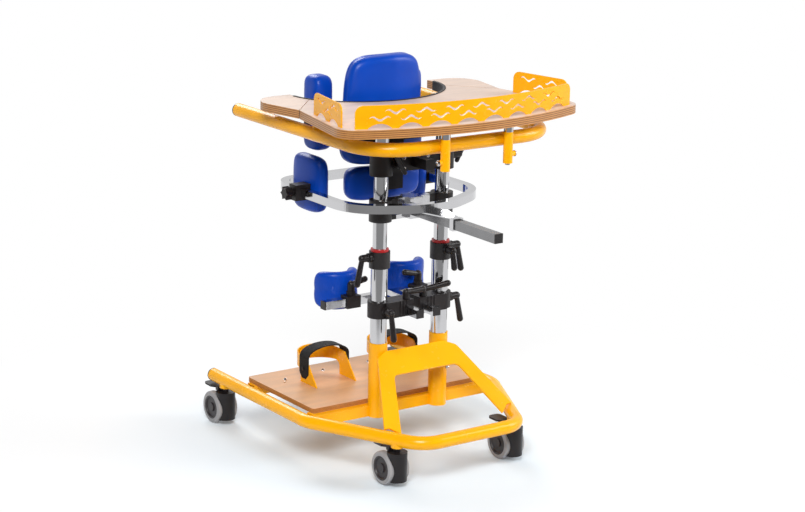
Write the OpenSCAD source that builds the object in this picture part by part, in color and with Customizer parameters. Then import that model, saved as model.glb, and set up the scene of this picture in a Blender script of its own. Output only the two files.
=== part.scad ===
// Child's standing frame: a wheeled tube base with a footboard, two telescopic posts with knee cups,
// a hip ring and chest pads, and a table on a bent tube frame.
// Millimetres, +Z up. The child stands behind the posts (+Y) and faces the nose of the base (-Y).

/* [Tubes and fits] */
// Outer diameter of the bent base and table tubes
tube_d = 32; // [28:1:36]
// Wall of the bent tubes
tube_wall = 2.5; // [1.5:0.5:4]
// Radial clearance of a shaft that turns or slides in a bore
running = 0.05; // [0.02:0.01:0.1]
// Gap between flat faces that slide past each other
slide_gap = 0.3; // [0.2:0.05:0.6]
// Gap between curved pieces that are seated on each other
seat_gap = 0.2; // [0.1:0.05:0.4]

/* [Base] */
// Height of the base tube's axis
base_z = 112; // [108:1:125]
// Half the distance between the leg axes
leg_x = 275; // [262:1:300]
// Rear end of the legs, behind the posts
leg_rear_y = 448; // [436:1:470]
// Where each leg turns towards the nose
leg_bend_y = 20; // [0:1:40]
// Half the nose's corner to corner length
nose_x = 138; // [125:1:150]
// Reach of the nose in front of the posts
nose_reach = 262; // [250:1:280]
// Bend radius of the base tube's axis
base_bend_r = 70; // [60:1:74]
// Length of an end plug inside its tube
plug_len = 18; // [10:1:30]
// Thickness of an end plug's cap
plug_cap = 3; // [2:0.5:5]

/* [Post carrier] */
// Depth of the front cross tube
cross_depth = 40; // [30:1:50]
// Height of the front cross tube
cross_h = 25; // [20:1:30]
// Height of the cross tubes' top above the base tube's axis
cross_rise = 13; // [10:1:15]
// Distance of the front cross tube's face behind the post axes
cross_setback = 3; // [0:1:6]
// Wall of the rectangular tubes
box_wall = 2.5; // [1.5:0.5:4]
// Where the rear crossbar's middle lies behind the posts
rear_bar_y = 296; // [270:1:305]
// Depth of the rear crossbar
rear_bar_depth = 30; // [20:1:40]
// Half the distance between the posts
post_x = 88; // [82:1:96]
// Outer diameter of the post sockets
socket_d = 45; // [44:1:47]
// Height of the sockets' top
socket_top = 282; // [270:1:290]
// Thickness of the sockets' floor
socket_floor = 10; // [6:1:12]

/* [Brace plate] */
// Thickness of the brace plate
brace_t = 5; // [3:0.5:6]
// Height of the brace plate's top edge
brace_top_z = 262; // [250:1:266]
// Reach of the brace plate's feet in front of the posts
brace_foot_reach = 168; // [160:1:180]
// Half width of the brace plate's top edge
brace_top_x = 84; // [78:1:92]
// Half width across the shoulders
brace_shoulder_x = 114; // [108:1:120]
// Drop of the shoulders below the top edge, along the plate
brace_shoulder_drop = 16; // [10:1:22]
// Half width across the feet
brace_foot_x = 184; // [178:1:190]
// Width of a foot
brace_foot_w = 37; // [32:1:42]
// Height of the bridge between the legs, along the plate
brace_bridge_h = 66; // [56:1:76]
// Half width of the window's top
brace_window_x = 92; // [86:1:96]
// Width of the brace plate's feet on the tube
brace_foot_flat = 14; // [10:1:18]
// Slant of the feet beside the tube, along the plate
brace_foot_drop = 20; // [12:1:24]
// Rounding of the window's corners and the shoulders
brace_r = 18; // [10:1:22]

/* [Posts] */
// Outer diameter of the lower posts
lower_d = 40; // [39:0.5:42]
// Outer diameter of the upper posts
upper_d = 34; // [33:0.5:35]
// Wall of the upper posts
upper_wall = 3; // [2:0.5:4]
// Height of the upper posts' lower end
upper_low = 300; // [280:1:330]
// Outer diameter of the clamp collars
collar_d = 50; // [48:1:53]
// Height of the collars' underside
collar_low = 465; // [460:1:472]
// Height of the collars
collar_h = 40; // [36:1:44]
// Height of the seal rings on the collars
seal_h = 6; // [4:1:7]
// Width of the seal rings' lip outside the upper posts
seal_lip = 4.5; // [3:0.5:6]

/* [Casters] */
// Wheel diameter
wheel_d = 80; // [76:1:82]
// Width of one of a caster's twin wheels
wheel_w = 19; // [16:1:22]
// Diameter of the wheel's hub disc
hub_d = 58; // [50:1:62]
// Distance of the axle behind the swivel axis
trail = 26; // [22:1:30]
// Diameter of the axle
axle_d = 8; // [6:0.5:10]
// Width of the tongue between the wheels
tongue_w = 15; // [12:1:18]
// Diameter of the hood's column
hood_d = 48; // [44:1:50]
// Height of the hood's lower end above the floor
hood_low = 14; // [8:1:20]
// Diameter of the swivel stem
stem_d = 11; // [10:0.5:12]
// Diameter of the weld-on boss under the tube
boss_d = 30; // [26:1:32]
// Drop of the boss below the tube
boss_drop = 2; // [1:0.5:3]
// Height of the spacer between hood and boss
washer_h = 10; // [9.5:0.5:12]
// Width of the hood's ears that hold the brake pedal's pin
ear_w = 5; // [4:0.5:6]
// Depth of the ears
ear_depth = 12; // [10:0.5:14]
// Diameter of the brake pedal's pin
pedal_pin_d = 5; // [4:0.5:5.5]
// Distance of the pin behind the swivel axis
pedal_pin_y = 19; // [17:0.5:21]
// Thickness of the brake pedal
pedal_t = 4.5; // [3.5:0.5:5]
// Width of the brake pedal between the ears
pedal_root_w = 17; // [14:0.5:19]
// Diameter of the brake pedal's barrel round the pin
pedal_barrel_d = 9; // [8:0.5:9]
// Reach of the brake pedal from the swivel axis
pedal_reach = 80; // [76:1:86]
// Width of the brake pedal's tip
pedal_w = 34; // [28:1:40]
// Distance of the front stems in front of the posts
front_stem_reach = 200; // [192:1:204]
// Distance of the rear stems behind the posts
rear_stem_y = 390; // [370:1:400]

/* [Footboard] */
// Half width of the footboard
board_x = 253; // [240:1:256]
// Front edge of the footboard, behind the posts
board_front_y = 25; // [24:1:32]
// Rear edge of the footboard
board_rear_y = 321; // [315:1:330]
// Thickness of the footboard
board_t = 12; // [9:1:15]
// Rounding of the footboard's corners
board_r = 8; // [4:1:14]
// Diameter of the spare fixing holes
spare_hole_d = 6.4; // [5:0.1:8]
// Half the distance between the spare holes
spare_hole_x = 200; // [190:1:215]
// Distance of the spare holes behind the posts
spare_hole_y = 235; // [220:1:250]

/* [Sandals] */
// Middle of each sandal from the centre line
sandal_x = 103; // [95:1:115]
// Outer width of a sandal
sandal_w = 116; // [106:1:124]
// Front end of the sandals, behind the posts
sandal_front_y = 152; // [140:1:165]
// Rear end of the sandals
sandal_rear_y = 282; // [275:1:295]
// Height of the heel band's top above the board
sandal_h = 70; // [60:1:80]
// Height of the heel band's lower edge above the board
sandal_heel_low = 34; // [28:1:40]
// Sheet thickness of the sandals
sandal_t = 3; // [2:0.5:4]
// Width of the instep straps
strap_w = 30; // [24:1:36]
// Thickness of the instep straps
strap_t = 3; // [2:0.5:4]
// Height of the straps' crown above the board
strap_crown = 92; // [84:1:100]
// Height of the straps' lower ends above the board
strap_low = 24; // [18:1:30]
// Middle of the straps, behind the posts
strap_y = 208; // [200:1:215]

/* [Post heads] */
// Height of the heads' underside
head_low = 686; // [680:1:690]
// Height of the heads
head_h = 59; // [50:1:64]
// Diameter of the heads
head_d = 54; // [50:1:56]
// Height of the beam between the heads
beam_h = 45; // [40:1:50]
// Depth of the beam
beam_depth = 32; // [28:1:40]
// Rise of the beam's underside above the heads' underside
beam_lift = 6; // [3:1:9]

/* [Table frame] */
// Height of the table frame's axis
frame_z = 795; // [788:1:800]
// Half the distance between the table frame's arms
frame_x = 255; // [248:1:262]
// Reach of the table frame's front in front of the posts
frame_reach = 225; // [215:1:235]
// Rear end of the table frame's arms
frame_rear_y = 362; // [346:1:380]
// Bend radius of the table frame
frame_bend_r = 112; // [90:1:125]
// Side of the square cross tube over the posts
frame_cross = 30; // [26:1:34]
// Diameter of the rod guides
guide_d = 22; // [20:1:26]
// Height of the rod guides' lower end
guide_low = 743; // [738:1:750]
// Height of the rod guides
guide_h = 72; // [66:1:74]
// Diameter of the rear table rests
rest_d = 16; // [12:1:20]
// Where the rear table rests stand, behind the posts
rest_y = 20; // [5:1:25]

/* [Table] */
// Height of the table's underside
table_low = 830; // [828:1:838]
// Thickness of the table
table_t = 20; // [16:1:22]
// Half width at the table's front corners
table_x = 336; // [328:1:344]
// Reach of the table's front edge at the middle
table_reach = 278; // [272:1:286]
// Radius of the table's front edge
table_front_r = 800; // [760:1:900]
// Rounding of the front corners
table_corner_r = 48; // [36:1:54]
// Half width at the seam between table and wings
waist_x = 285; // [280:1:292]
// Where the seam meets the outer edge, behind the posts
waist_y = 45; // [38:1:52]
// Half width across the wings' rear corners
wing_x = 322; // [314:1:330]
// Rear end of the wings
wing_rear_y = 222; // [216:1:228]
// Rounding of the wings' rear corners
wing_r = 62; // [50:1:68]
// Half width of the body cut-out
cutout_x = 200; // [195:1:205]
// Depth of the cut-out from its widest line to its front
cutout_depth = 165; // [158:1:170]
// Where the cut-out is widest, behind the posts
cutout_y = 200; // [196:1:204]
// Width of the seam between table and wings
seam_w = 1.5; // [1:0.25:3]

/* [Fence] */
// Height of the fence
fence_h = 52; // [46:1:58]
// Sheet thickness of the fence
fence_t = 3; // [2:0.5:4]
// Inset of the fence from the table's edge
fence_inset = 14; // [10:1:18]
// Rounding of the fence's upper corners
fence_r = 18; // [10:1:22]
// Length of each side fence
side_fence_len = 165; // [155:1:172]
// Distance of the side fences' front ends from the table's corners
side_fence_start = 32; // [28:1:38]
// Distance of the front fence's ends from the table's corners
fence_corner_gap = 32; // [28:1:40]
// Pitch of the wave slots
wave_pitch = 72; // [68:1:76]
// Length of a wave slot
wave_len = 52; // [44:1:56]
// Width of a wave slot
wave_w = 5; // [4:0.5:6]
// Height of a wave from its middle line
wave_rise = 4; // [3:0.5:5]
// Width of a scallop along the fence's foot
scallop_w = 58; // [48:1:62]
// Height of a scallop
scallop_h = 11; // [8:1:12]

/* [Table fittings] */
// Length of the battens under the seams
batten_len = 90; // [80:1:96]
// Width of the battens
batten_w = 40; // [30:1:50]
// Thickness of the battens
batten_t = 3; // [2:0.5:5]
// Diameter of the table rods
rod_d = 12; // [11:0.5:13]
// Length of the rods' tips below the guides
rod_tip = 4; // [3:0.5:8]
// Diameter of the rods' upper flanges
rod_flange_d = 22; // [18:1:24]

/* [Chest unit] */
// Side of the square arm that carries the pads
arm_side = 24; // [20:1:26]
// Front end of the arm, in front of the posts
arm_reach = 72; // [68:1:80]
// Front face of the pads' carrier plate, behind the posts
plate_y = 85; // [82:1:88]
// Thickness of the carrier plate
plate_t = 6.5; // [5:0.5:8]
// Width of the carrier plate
plate_w = 70; // [60:1:80]
// Height of the carrier plate's lower end
plate_low = 625; // [615:1:635]
// Height of the carrier plate's upper end
plate_high = 805; // [790:1:815]
// Size of the chest pad: width, height, thickness
chest_size = [220, 262, 52];
// Height of the chest pad's middle
chest_z = 815; // [811:1:819]
// Bend radius of the chest pad
chest_bend_r = 330; // [280:1:400]
// Size of the pelvis pad: width, height, thickness
pelvis_size = [200, 82, 50];
// Height of the pelvis pad's middle
pelvis_z = 640; // [636:1:641]
// Bend radius of the pelvis pad
pelvis_bend_r = 260; // [220:1:320]
// Size of a side pad: length, height, thickness
side_size = [64, 180, 54];
// Middle of the side pads from the centre line
side_x = 128; // [124:1:132]
// Middle of the side pads, behind the posts
side_y = 208; // [200:1:214]
// Height of the side pads' middle
side_z = 804; // [800:1:808]
// Height of the side pads' arms
side_arm_z = 752; // [748:1:760]
// Height of a side arm's flat bar
side_arm_h = 18; // [14:1:20]
// Thickness of a side arm's flat bar
side_arm_t = 7; // [6:0.5:8]

/* [Hip unit] */
// Diameter of the hip carrier's sleeves
sleeve_d = 54; // [50:1:56]
// Height of the sleeves' underside
sleeve_low = 577; // [574:1:580]
// Height of the sleeves
sleeve_h = 51; // [48:1:54]
// Side of the hip carrier's crossbars
hip_cross = 20; // [16:1:22]
// Width of the guide block round the hip bar
guide_block_w = 36; // [32:1:40]
// Depth of the guide block
guide_block_depth = 44; // [36:1:50]
// Side of the square hip bar
hip_bar_side = 22; // [20:1:23]
// Height of the hip bar's axis
hip_bar_z = 596; // [594:1:598]
// Reach of the hip bar's front end in front of the posts
hip_bar_reach = 340; // [320:1:360]
// Rear end of the hip bar, behind the posts
hip_bar_rear_y = 78; // [72:1:80]
// Side of the square ring tube
ring_side = 20; // [18:1:22]
// Wall of the ring tube
ring_wall = 2; // [1.5:0.5:3]
// Half width of the ring between its sides' axes
ring_x = 183; // [178:1:190]
// Reach of the ring's tip before rounding, in front of the posts
ring_tip_reach = 118; // [114:1:124]
// Reach of the ring's shoulders before rounding, in front of the posts
ring_shoulder_reach = 22; // [16:1:28]
// Axis of the ring's rear side, behind the posts
ring_rear_y = 308; // [300:1:316]
// Bend radius of the ring's tip, on its axis
ring_tip_r = 180; // [160:1:200]
// Bend radius of the ring's shoulders, on its axis
ring_shoulder_r = 110; // [90:1:120]
// Bend radius of the ring's rear corners, on its axis
ring_corner_r = 58; // [45:1:70]
// Gap between the ring and the hip bar, filled by the bracket
bracket_t = 3; // [2:0.5:4]
// Reach of the bracket's band in front of the posts
band_reach = 186; // [176:1:200]
// Length of the bracket's band
band_len = 14; // [10:1:20]
// Half width of the bracket at the ring
bracket_x = 36; // [30:1:44]
// Size of a hip pad: length, height, thickness
hip_pad_size = [116, 138, 40];
// Bend radius of the hip pads
hip_pad_bend_r = 300; // [260:10:340]
// Height of the hip pads' middle above the ring
hip_pad_lift = 14; // [10:1:18]
// Middle of the clamps on the ring, behind the posts
clamp_y = 195; // [190:1:200]
// Distance of the hip pads' middle behind the clamps
hip_pad_shift = 20; // [14:1:22]
// Width of the clamps on the ring
clamp_w = 30; // [24:1:36]
// Height of the clamps on the ring
clamp_h = 38; // [34:1:44]
// Thickness of the clamps' inner wall
clamp_inner = 7; // [5:0.5:9]
// Thickness of the clamps' outer wall
clamp_outer = 13; // [12:0.5:16]
// Diameter of the hip knobs
knob_d = 34; // [28:1:38]
// Height of the hip knobs
knob_h = 18; // [14:1:22]

/* [Knee units] */
// Diameter of the knee clamp blocks
block_d = 54; // [50:1:56]
// Height of the knee blocks' underside
block_low = 345; // [340:1:348]
// Height of the knee blocks
block_h = 39; // [37:1:42]
// Depth of the block's arm
block_arm_depth = 46; // [40:1:50]
// How far the block's arm stands in front of the post axis
block_arm_front = 32; // [30:1:34]
// Width of a rib on the block's arm
rib_w = 3; // [2:0.5:4]
// Side of the square knee bars
knee_bar_side = 20; // [18:1:21]
// Middle of the fore-and-aft knee bars from the centre line
knee_bar_x = 24; // [23:1:26]
// Height of the knee bars' axis
knee_bar_z = 360; // [358:1:361]
// Front end of the knee bars, in front of the posts
knee_bar_reach = 80; // [74:1:86]
// Middle of the crosswise knee bars, behind the posts
knee_cross_y = 103; // [98:1:108]
// Outer end of the crosswise knee bars
knee_cross_x = 178; // [172:1:184]
// Middle of the knee cups from the centre line
knee_x = 98; // [94:1:102]
// Height of the knee cups' middle
knee_z = 380; // [376:1:384]
// Size of an unrolled knee cup: length, height, thickness
knee_size = [150, 92, 27];
// Bend radius of the knee cups' middle line
knee_bend_r = 43; // [40:1:46]
// Width of the knee cups' brackets
knee_bracket_w = 38; // [34:1:44]
// Wall of the knee cups' brackets
knee_bracket_wall = 4.5; // [4:0.5:6]
// Height of the bracket's lug above the bar's axis
knee_lug = 24; // [22:1:28]

/* [Levers] */
// Diameter of a lever's threaded stud
stud_d = 8; // [6:0.5:9]
// Length of a stud inside its hole
stud_len = 9; // [7:0.5:10]
// Diameter of a lever's hub
lever_hub_d = 18; // [16:0.5:20]
// Height of a lever's hub
lever_hub_h = 16; // [14:1:20]
// Diameter of a lever's handle at the hub
grip_root_d = 12; // [10:0.5:14]
// Diameter of a lever's handle at its tip
grip_tip_d = 15; // [13:0.5:16]
// Length of a long lever's handle
long_grip = 62; // [54:1:64]
// Length of a short lever's handle
short_grip = 40; // [34:1:44]
// Diameter of the lug that takes a stud
lug_d = 22; // [18:0.5:24]
// Height of the lug above the piece that it stands on
lug_h = 8; // [6:0.5:10]
// Height of the collar levers above the collars' underside
collar_lever_lift = 27; // [24:1:28]
// Length of a T-handle's cross grip
tee_len = 46; // [40:1:52]
// Diameter of a T-handle's cross grip
tee_d = 11; // [9:0.5:13]
// Length of a T-handle's neck
tee_neck = 16; // [12:1:20]

/* [Hidden] */
$fn = 48;
// Overrun of every cut
cut = 1;
// Length and thickness of the sleeves at the tubes' bends, and the gap inside them
sleeve_len = 5;
sleeve_lip = 0.15;
sleeve_gap = 1;
// Angle that a lever's handle leans away from its hub
lever_splay = 12;
// Yaw of the bar levers' handles, left and right
left_bar_lever_yaw = -36;
right_bar_lever_yaw = -22;
// Turn of the T-handles' cross grips
tee_turn = 32;
// Points along a rounded corner, around a pad and across its thickness
corner_steps = 6;
ring_steps = 20;
pad_sides = 28;
pad_rings = 10;
// Steps of the table's front edge and of its cut-out
front_steps = 8;
cutout_steps = 64;
wave_steps = 12;
strap_steps = 12;
// Squareness of the pads' outlines and edges, 1 for an ellipse
outline_share = 0.42;
edge_share = 0.5;
// Narrowing of the chest pad to its top
chest_taper_share = -0.1;
// Turns of a wave slot's wave
wave_turns = 1.5;
// Lobes on a hip knob
knob_lobes = 6;

yellow = [0.96, 0.66, 0.03];
chrome = [0.78, 0.79, 0.81];
black = [0.13, 0.12, 0.13];
blue = [0.03, 0.22, 0.66];
beech = [0.86, 0.72, 0.60];
red = [0.66, 0.10, 0.10];
grey = [0.66, 0.65, 0.65];

tube_bore = tube_d - 2 * tube_wall;
cross_top = base_z + cross_rise;
board_top = cross_top + board_t;
socket_low = cross_top - cross_h;
post_floor = socket_low + socket_floor;
lower_bore = upper_d + 2 * running;
collar_high = collar_low + collar_h;
collar_lever_z = collar_low + collar_lever_lift;
collar_face = collar_d / 2 + lug_h;
beam_low = head_low + beam_lift;
beam_z = beam_low + beam_h / 2;
frame_cross_low = frame_z - frame_cross / 2;
guide_y = -frame_reach - tube_d / 2 - guide_d / 2 + tube_wall;
guide_top = guide_low + guide_h;
table_top_z = table_low + table_t;
ring_z = hip_bar_z + hip_bar_side / 2 + bracket_t + ring_side / 2;
block_top = block_low + block_h;
block_face = block_d / 2 + lug_h;
axle_z = wheel_d / 2;
// The hood's top leaves room for the stem's spacer under the boss
boss_low = base_z - tube_d / 2 - boss_drop;
hood_top = boss_low - washer_h - slide_gap;
stem_top = base_z;
// Clearance round the turning wheels
wheel_clear = 1.5;
wheel_side_gap = 0.8;
pedal_pin_z = hood_top + pedal_pin_d;
// Clearance of the pedal's barrel between the ears
ear_gap = 0.4;

// Front stems stand where the diagonal tubes meet the nose's bends
function diagonal_x(reach) =
    nose_x + (leg_x - nose_x) * (nose_reach - reach) / (nose_reach + leg_bend_y);
front_stem_x = diagonal_x(front_stem_reach);
stems = [
    [-front_stem_x, -front_stem_reach], [front_stem_x, -front_stem_reach],
    [-leg_x, rear_stem_y], [leg_x, rear_stem_y]
];

// The origin lies under the middle of the whole frame, between hip bar and rear brake pedals
rear_end_y = rear_stem_y + pedal_reach;
mid_y = (rear_end_y - hip_bar_reach) / 2;

base_path = [
    [-leg_x, leg_rear_y], [-leg_x, leg_bend_y], [-nose_x, -nose_reach],
    [nose_x, -nose_reach], [leg_x, leg_bend_y], [leg_x, leg_rear_y]
];
frame_path = [
    [-frame_x, frame_rear_y], [-frame_x, -frame_reach],
    [frame_x, -frame_reach], [frame_x, frame_rear_y]
];

// Outline helpers

function unit(v) = v / norm(v);
function turn_at(path, i) =
    let (a = path[i] - path[i - 1], b = path[i + 1] - path[i]) atan2(a.x * b.y - a.y * b.x, a * b);
function setback(path, i, r) =
    i == 0 || i == len(path) - 1 ? 0 : r * tan(abs(turn_at(path, i)) / 2);
// The path with both ends lengthened by the overrun, for the tube's bore
function overrun(path) =
    let (n = len(path) - 1)
    [for (i = [0 : n])
        i == 0 ? path[0] + unit(path[0] - path[1]) * cut
        : i == n ? path[n] + unit(path[n] - path[n - 1]) * cut : path[i]];
function corner_arc(a, p, b, r, steps) =
    let (
        u = unit(a - p), v = unit(b - p), half = acos(u * v) / 2,
        c = p + unit(u + v) * r / sin(half),
        s = p + u * r / tan(half) - c, e = p + v * r / tan(half) - c,
        sweep = atan2(s.x * e.y - s.y * e.x, s * e), first = atan2(s.y, s.x)
    )
    [for (k = [0 : steps]) let (t = first + sweep * k / steps) c + r * [cos(t), sin(t)]];
// A polygon with each corner rounded by its own radius, 0 for a sharp one
function rounded(points, radii, steps = corner_steps) =
    let (n = len(points))
    [for (i = [0 : n - 1])
        each radii[i] == 0 ? [points[i]]
        : corner_arc(points[(i + n - 1) % n], points[i], points[(i + 1) % n], radii[i], steps)];
function reversed(list) = [for (i = [len(list) - 1 : -1 : 0]) list[i]];
function flipped(points) = [for (p = reversed(points)) [-p.x, p.y]];

// Solid helpers

module place() {
    translate([0, -mid_y, 0]) children();
}
module both() {
    children();
    mirror([1, 0, 0]) children();
}
// A box by its size and its middle
module box(size, middle) {
    translate(middle - size / 2) cube(size);
}
// A rod along a path with round bends; a short swaged sleeve covers each joint of a bend and a straight
module bent_rod(path, r, d) {
    last = len(path) - 1;
    for (i = [0 : last - 1])
        let (
            u = unit(path[i + 1] - path[i]),
            s = path[i] + u * (setback(path, i, r) + (i == 0 ? 0 : sleeve_gap)),
            e = path[i + 1] - u * (setback(path, i + 1, r) + (i == last - 1 ? 0 : sleeve_gap))
        )
        translate([s.x, s.y, 0]) rotate([0, 90, atan2(u.y, u.x)]) cylinder(d = d, h = norm(e - s));
    for (i = [1 : last - 1])
        let (
            u = unit(path[i] - path[i - 1]), w = unit(path[i + 1] - path[i]), t = turn_at(path, i),
            s = path[i] - u * setback(path, i, r), e = path[i] + w * setback(path, i, r),
            n = [-u.y, u.x] * sign(t), c = s + n * r
        ) {
            translate([c.x, c.y, 0]) rotate([0, 0, atan2(-n.y, -n.x) + min(t, 0)])
                rotate_extrude(angle = abs(t)) translate([r, 0]) circle(d = d);
            translate([s.x, s.y, 0]) rotate([0, 90, atan2(u.y, u.x)])
                cylinder(d = d + 2 * sleeve_lip, h = sleeve_len, center = true);
            translate([e.x, e.y, 0]) rotate([0, 90, atan2(w.y, w.x)])
                cylinder(d = d + 2 * sleeve_lip, h = sleeve_len, center = true);
        }
}
module end_plug() {
    cylinder(d = tube_d, h = plug_cap);
    translate([0, 0, -plug_len]) cylinder(d = tube_bore - 2 * seat_gap, h = plug_len);
}
// A hole for a lever's stud, along +X from a face at the origin
module stud_hole() {
    translate([-stud_len - slide_gap, 0, 0]) rotate([0, 90, 0])
        cylinder(d = stud_d + 2 * running, h = stud_len + slide_gap + cut);
}

// Cushions: a squared ellipsoid, narrowed along its height and bent round a line on its +Z side

function squared(v, share) = sign(v) * pow(abs(v), share);
function bent(p, r) =
    let (
        quarter = r * PI / 2, past = max(0, abs(p.x) - quarter),
        a = min(abs(p.x), quarter) / r * 180 / PI
    )
    [sign(p.x) * (r - p.z) * sin(a), p.y, r - (r - p.z) * cos(a) + past];
function pad_points(size, r, taper_share) = [
    for (k = [0 : pad_rings])
        let (a = -90 + 180 * k / pad_rings, reach = squared(cos(a), edge_share))
        for (j = [0 : k == 0 || k == pad_rings ? 0 : pad_sides - 1])
            let (u = 360 * j / pad_sides, y = reach * squared(sin(u), outline_share))
            bent([
                size.x / 2 * reach * squared(cos(u), outline_share) * (1 + taper_share * y),
                size.y / 2 * y, size.z / 2 * squared(sin(a), edge_share)
            ], r)
];
function ring_point(k, j) = 1 + (k - 1) * pad_sides + j % pad_sides;
pad_last = 1 + (pad_rings - 1) * pad_sides;
pad_faces = [
    for (j = [0 : pad_sides - 1]) [0, ring_point(1, j), ring_point(1, j + 1)],
    for (j = [0 : pad_sides - 1])
        [pad_last, ring_point(pad_rings - 1, j + 1), ring_point(pad_rings - 1, j)],
    for (k = [1 : pad_rings - 2], j = [0 : pad_sides - 1])
        each [
            [ring_point(k, j), ring_point(k + 1, j), ring_point(k + 1, j + 1)],
            [ring_point(k, j), ring_point(k + 1, j + 1), ring_point(k, j + 1)]
        ]
];
module pad(size, r, taper_share = 0) {
    color(blue) polyhedron(pad_points(size, r, taper_share), pad_faces);
}
// A pad that stands upright with its hollow side towards the child
module upright_pad(size, r, taper_share = 0) {
    rotate([90, 0, 180]) pad(size, r, taper_share);
}

// Base

module base_tube() place() color(yellow) difference() {
    union() {
        difference() {
            translate([0, 0, base_z]) bent_rod(base_path, base_bend_r, tube_d);
            translate([0, 0, base_z]) bent_rod(overrun(base_path), base_bend_r, tube_bore);
        }
        for (p = stems) translate([p.x, p.y, boss_low]) cylinder(d = boss_d, h = base_z - boss_low);
    }
    for (p = stems) translate([p.x, p.y, boss_low - cut])
        cylinder(d = stem_d + 2 * running, h = base_z - boss_low + 2 * cut);
}

cross_span = 2 * leg_x - tube_d - 2 * seat_gap;
module hollow_bar(size, middle) {
    difference() {
        box(size, middle);
        box([size.x + 2 * cut, size.y - 2 * box_wall, size.z - 2 * box_wall], middle);
    }
}
module post_carrier() place() color(yellow) difference() {
    union() {
        hollow_bar([cross_span, cross_depth, cross_h],
            [0, cross_setback + cross_depth / 2, cross_top - cross_h / 2]);
        both() translate([post_x, 0, socket_low]) cylinder(d = socket_d, h = socket_top - socket_low);
    }
    both() translate([post_x, 0, post_floor])
        cylinder(d = lower_d + 2 * seat_gap, h = socket_top - post_floor + cut);
    translate([0, 0, base_z]) bent_rod(base_path, base_bend_r, tube_d + 2 * seat_gap);
}
module rear_crossbar() place() color(yellow)
    hollow_bar([cross_span, rear_bar_depth, cross_h], [0, rear_bar_y, cross_top - cross_h / 2]);

// The plate leans from the sockets' fronts down to the diagonal tubes
brace_foot_z = base_z + tube_d / 2 + seat_gap;
brace_top_y = -socket_d / 2 - seat_gap;
brace_run = brace_foot_reach + brace_top_y;
brace_len = norm([brace_run, brace_top_z - brace_foot_z]);
brace_lean = atan2(brace_top_z - brace_foot_z, brace_run);
brace_half = [
    [brace_window_x, brace_len - brace_bridge_h], [brace_foot_x - brace_foot_w, -brace_foot_drop],
    [brace_foot_x - brace_foot_flat, 0], [brace_foot_x, 0],
    [brace_shoulder_x, brace_len - brace_shoulder_drop], [brace_top_x, brace_len]
];
brace_half_radii = [brace_r, 0, 0, 0, brace_r, brace_r];
module brace_plate() place() color(yellow)
    translate([0, -brace_foot_reach, brace_foot_z]) rotate([brace_lean, 0, 0]) linear_extrude(brace_t)
        polygon(rounded(
            concat(brace_half, flipped(brace_half)),
            concat(brace_half_radii, reversed(brace_half_radii))));

rivet_d = 9;
rivet_h = 2.5;
rivet_lift = 12;
rivet_z = board_top + strap_low + rivet_lift;
module base_fittings() place() color(black) both() {
    translate([leg_x, leg_rear_y, base_z]) rotate([-90, 0, 0]) end_plug();
    for (side = [-1, 1])
        translate([sandal_x + side * (sandal_w / 2 + seat_gap + strap_t), strap_y, rivet_z])
            rotate([0, side * 90, 0]) cylinder(d = rivet_d, h = rivet_h);
}

module footboard() place() color(beech) difference() {
    translate([0, 0, cross_top]) linear_extrude(board_t) polygon(rounded(
        [
            [-board_x, board_front_y], [board_x, board_front_y],
            [board_x, board_rear_y], [-board_x, board_rear_y]
        ],
        [board_r, board_r, board_r, board_r]));
    both() translate([spare_hole_x, spare_hole_y, cross_top - cut])
        cylinder(d = spare_hole_d, h = board_t + 2 * cut);
}

// A heel cup: a U of sheet, cut to its side profile
heel_y = sandal_rear_y - sandal_w / 2;
// Lengths of the profile as shares of the sandal's length
sandal_rise_share = 0.38;
sandal_arch_share = 0.55;
sandal_len = sandal_rear_y - sandal_front_y;
sandal_shoulder_drop = 8;
module sandal_cup(w) {
    translate([0, heel_y, 0]) cylinder(d = w, h = sandal_h);
    box([w, heel_y - sandal_front_y + cut, sandal_h],
        [0, (heel_y + sandal_front_y - cut) / 2, sandal_h / 2]);
}
module foot_sandals() place() color(yellow) both() translate([sandal_x, 0, board_top]) intersection() {
    difference() {
        sandal_cup(sandal_w);
        translate([0, 0, -cut]) scale([1, 1, (sandal_h + 2 * cut) / sandal_h])
            sandal_cup(sandal_w - 2 * sandal_t);
    }
    translate([-sandal_w, 0, 0]) rotate([90, 0, 90]) linear_extrude(2 * sandal_w) polygon(rounded([
        [sandal_front_y, 0], [sandal_front_y + sandal_len * sandal_arch_share, 0],
        [sandal_front_y + sandal_len * sandal_arch_share, sandal_heel_low],
        [sandal_rear_y + cut, sandal_heel_low], [sandal_rear_y + cut, sandal_h],
        [sandal_front_y + sandal_len * sandal_rise_share, sandal_h - sandal_shoulder_drop]
    ], [0, 0, sandal_heel_low / 2, 0, 0, 0]));
}

strap_in = sandal_w / 2 + seat_gap;
strap_spring = sandal_h - sandal_shoulder_drop;
function strap_arch(half_w, crown) =
    [for (k = [0 : strap_steps]) let (a = 180 * k / strap_steps)
        [half_w * cos(a), strap_spring + (crown - strap_spring) * sin(a)]];
module foot_straps() place() color(black) both()
    translate([sandal_x, strap_y + strap_w / 2, board_top]) rotate([90, 0, 0]) linear_extrude(strap_w)
        polygon(concat(
            [[strap_in + strap_t, strap_low]], strap_arch(strap_in + strap_t, strap_crown),
            [[-strap_in - strap_t, strap_low], [-strap_in, strap_low]],
            [for (k = [strap_steps : -1 : 0]) strap_arch(strap_in, strap_crown - strap_t)[k]],
            [[strap_in, strap_low]]));

module lower_posts() place() color(chrome) both() translate([post_x, 0, post_floor]) difference() {
    cylinder(d = lower_d, h = collar_high - post_floor);
    translate([0, 0, -cut]) cylinder(d = lower_bore, h = collar_high - post_floor + 2 * cut);
}

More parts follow.
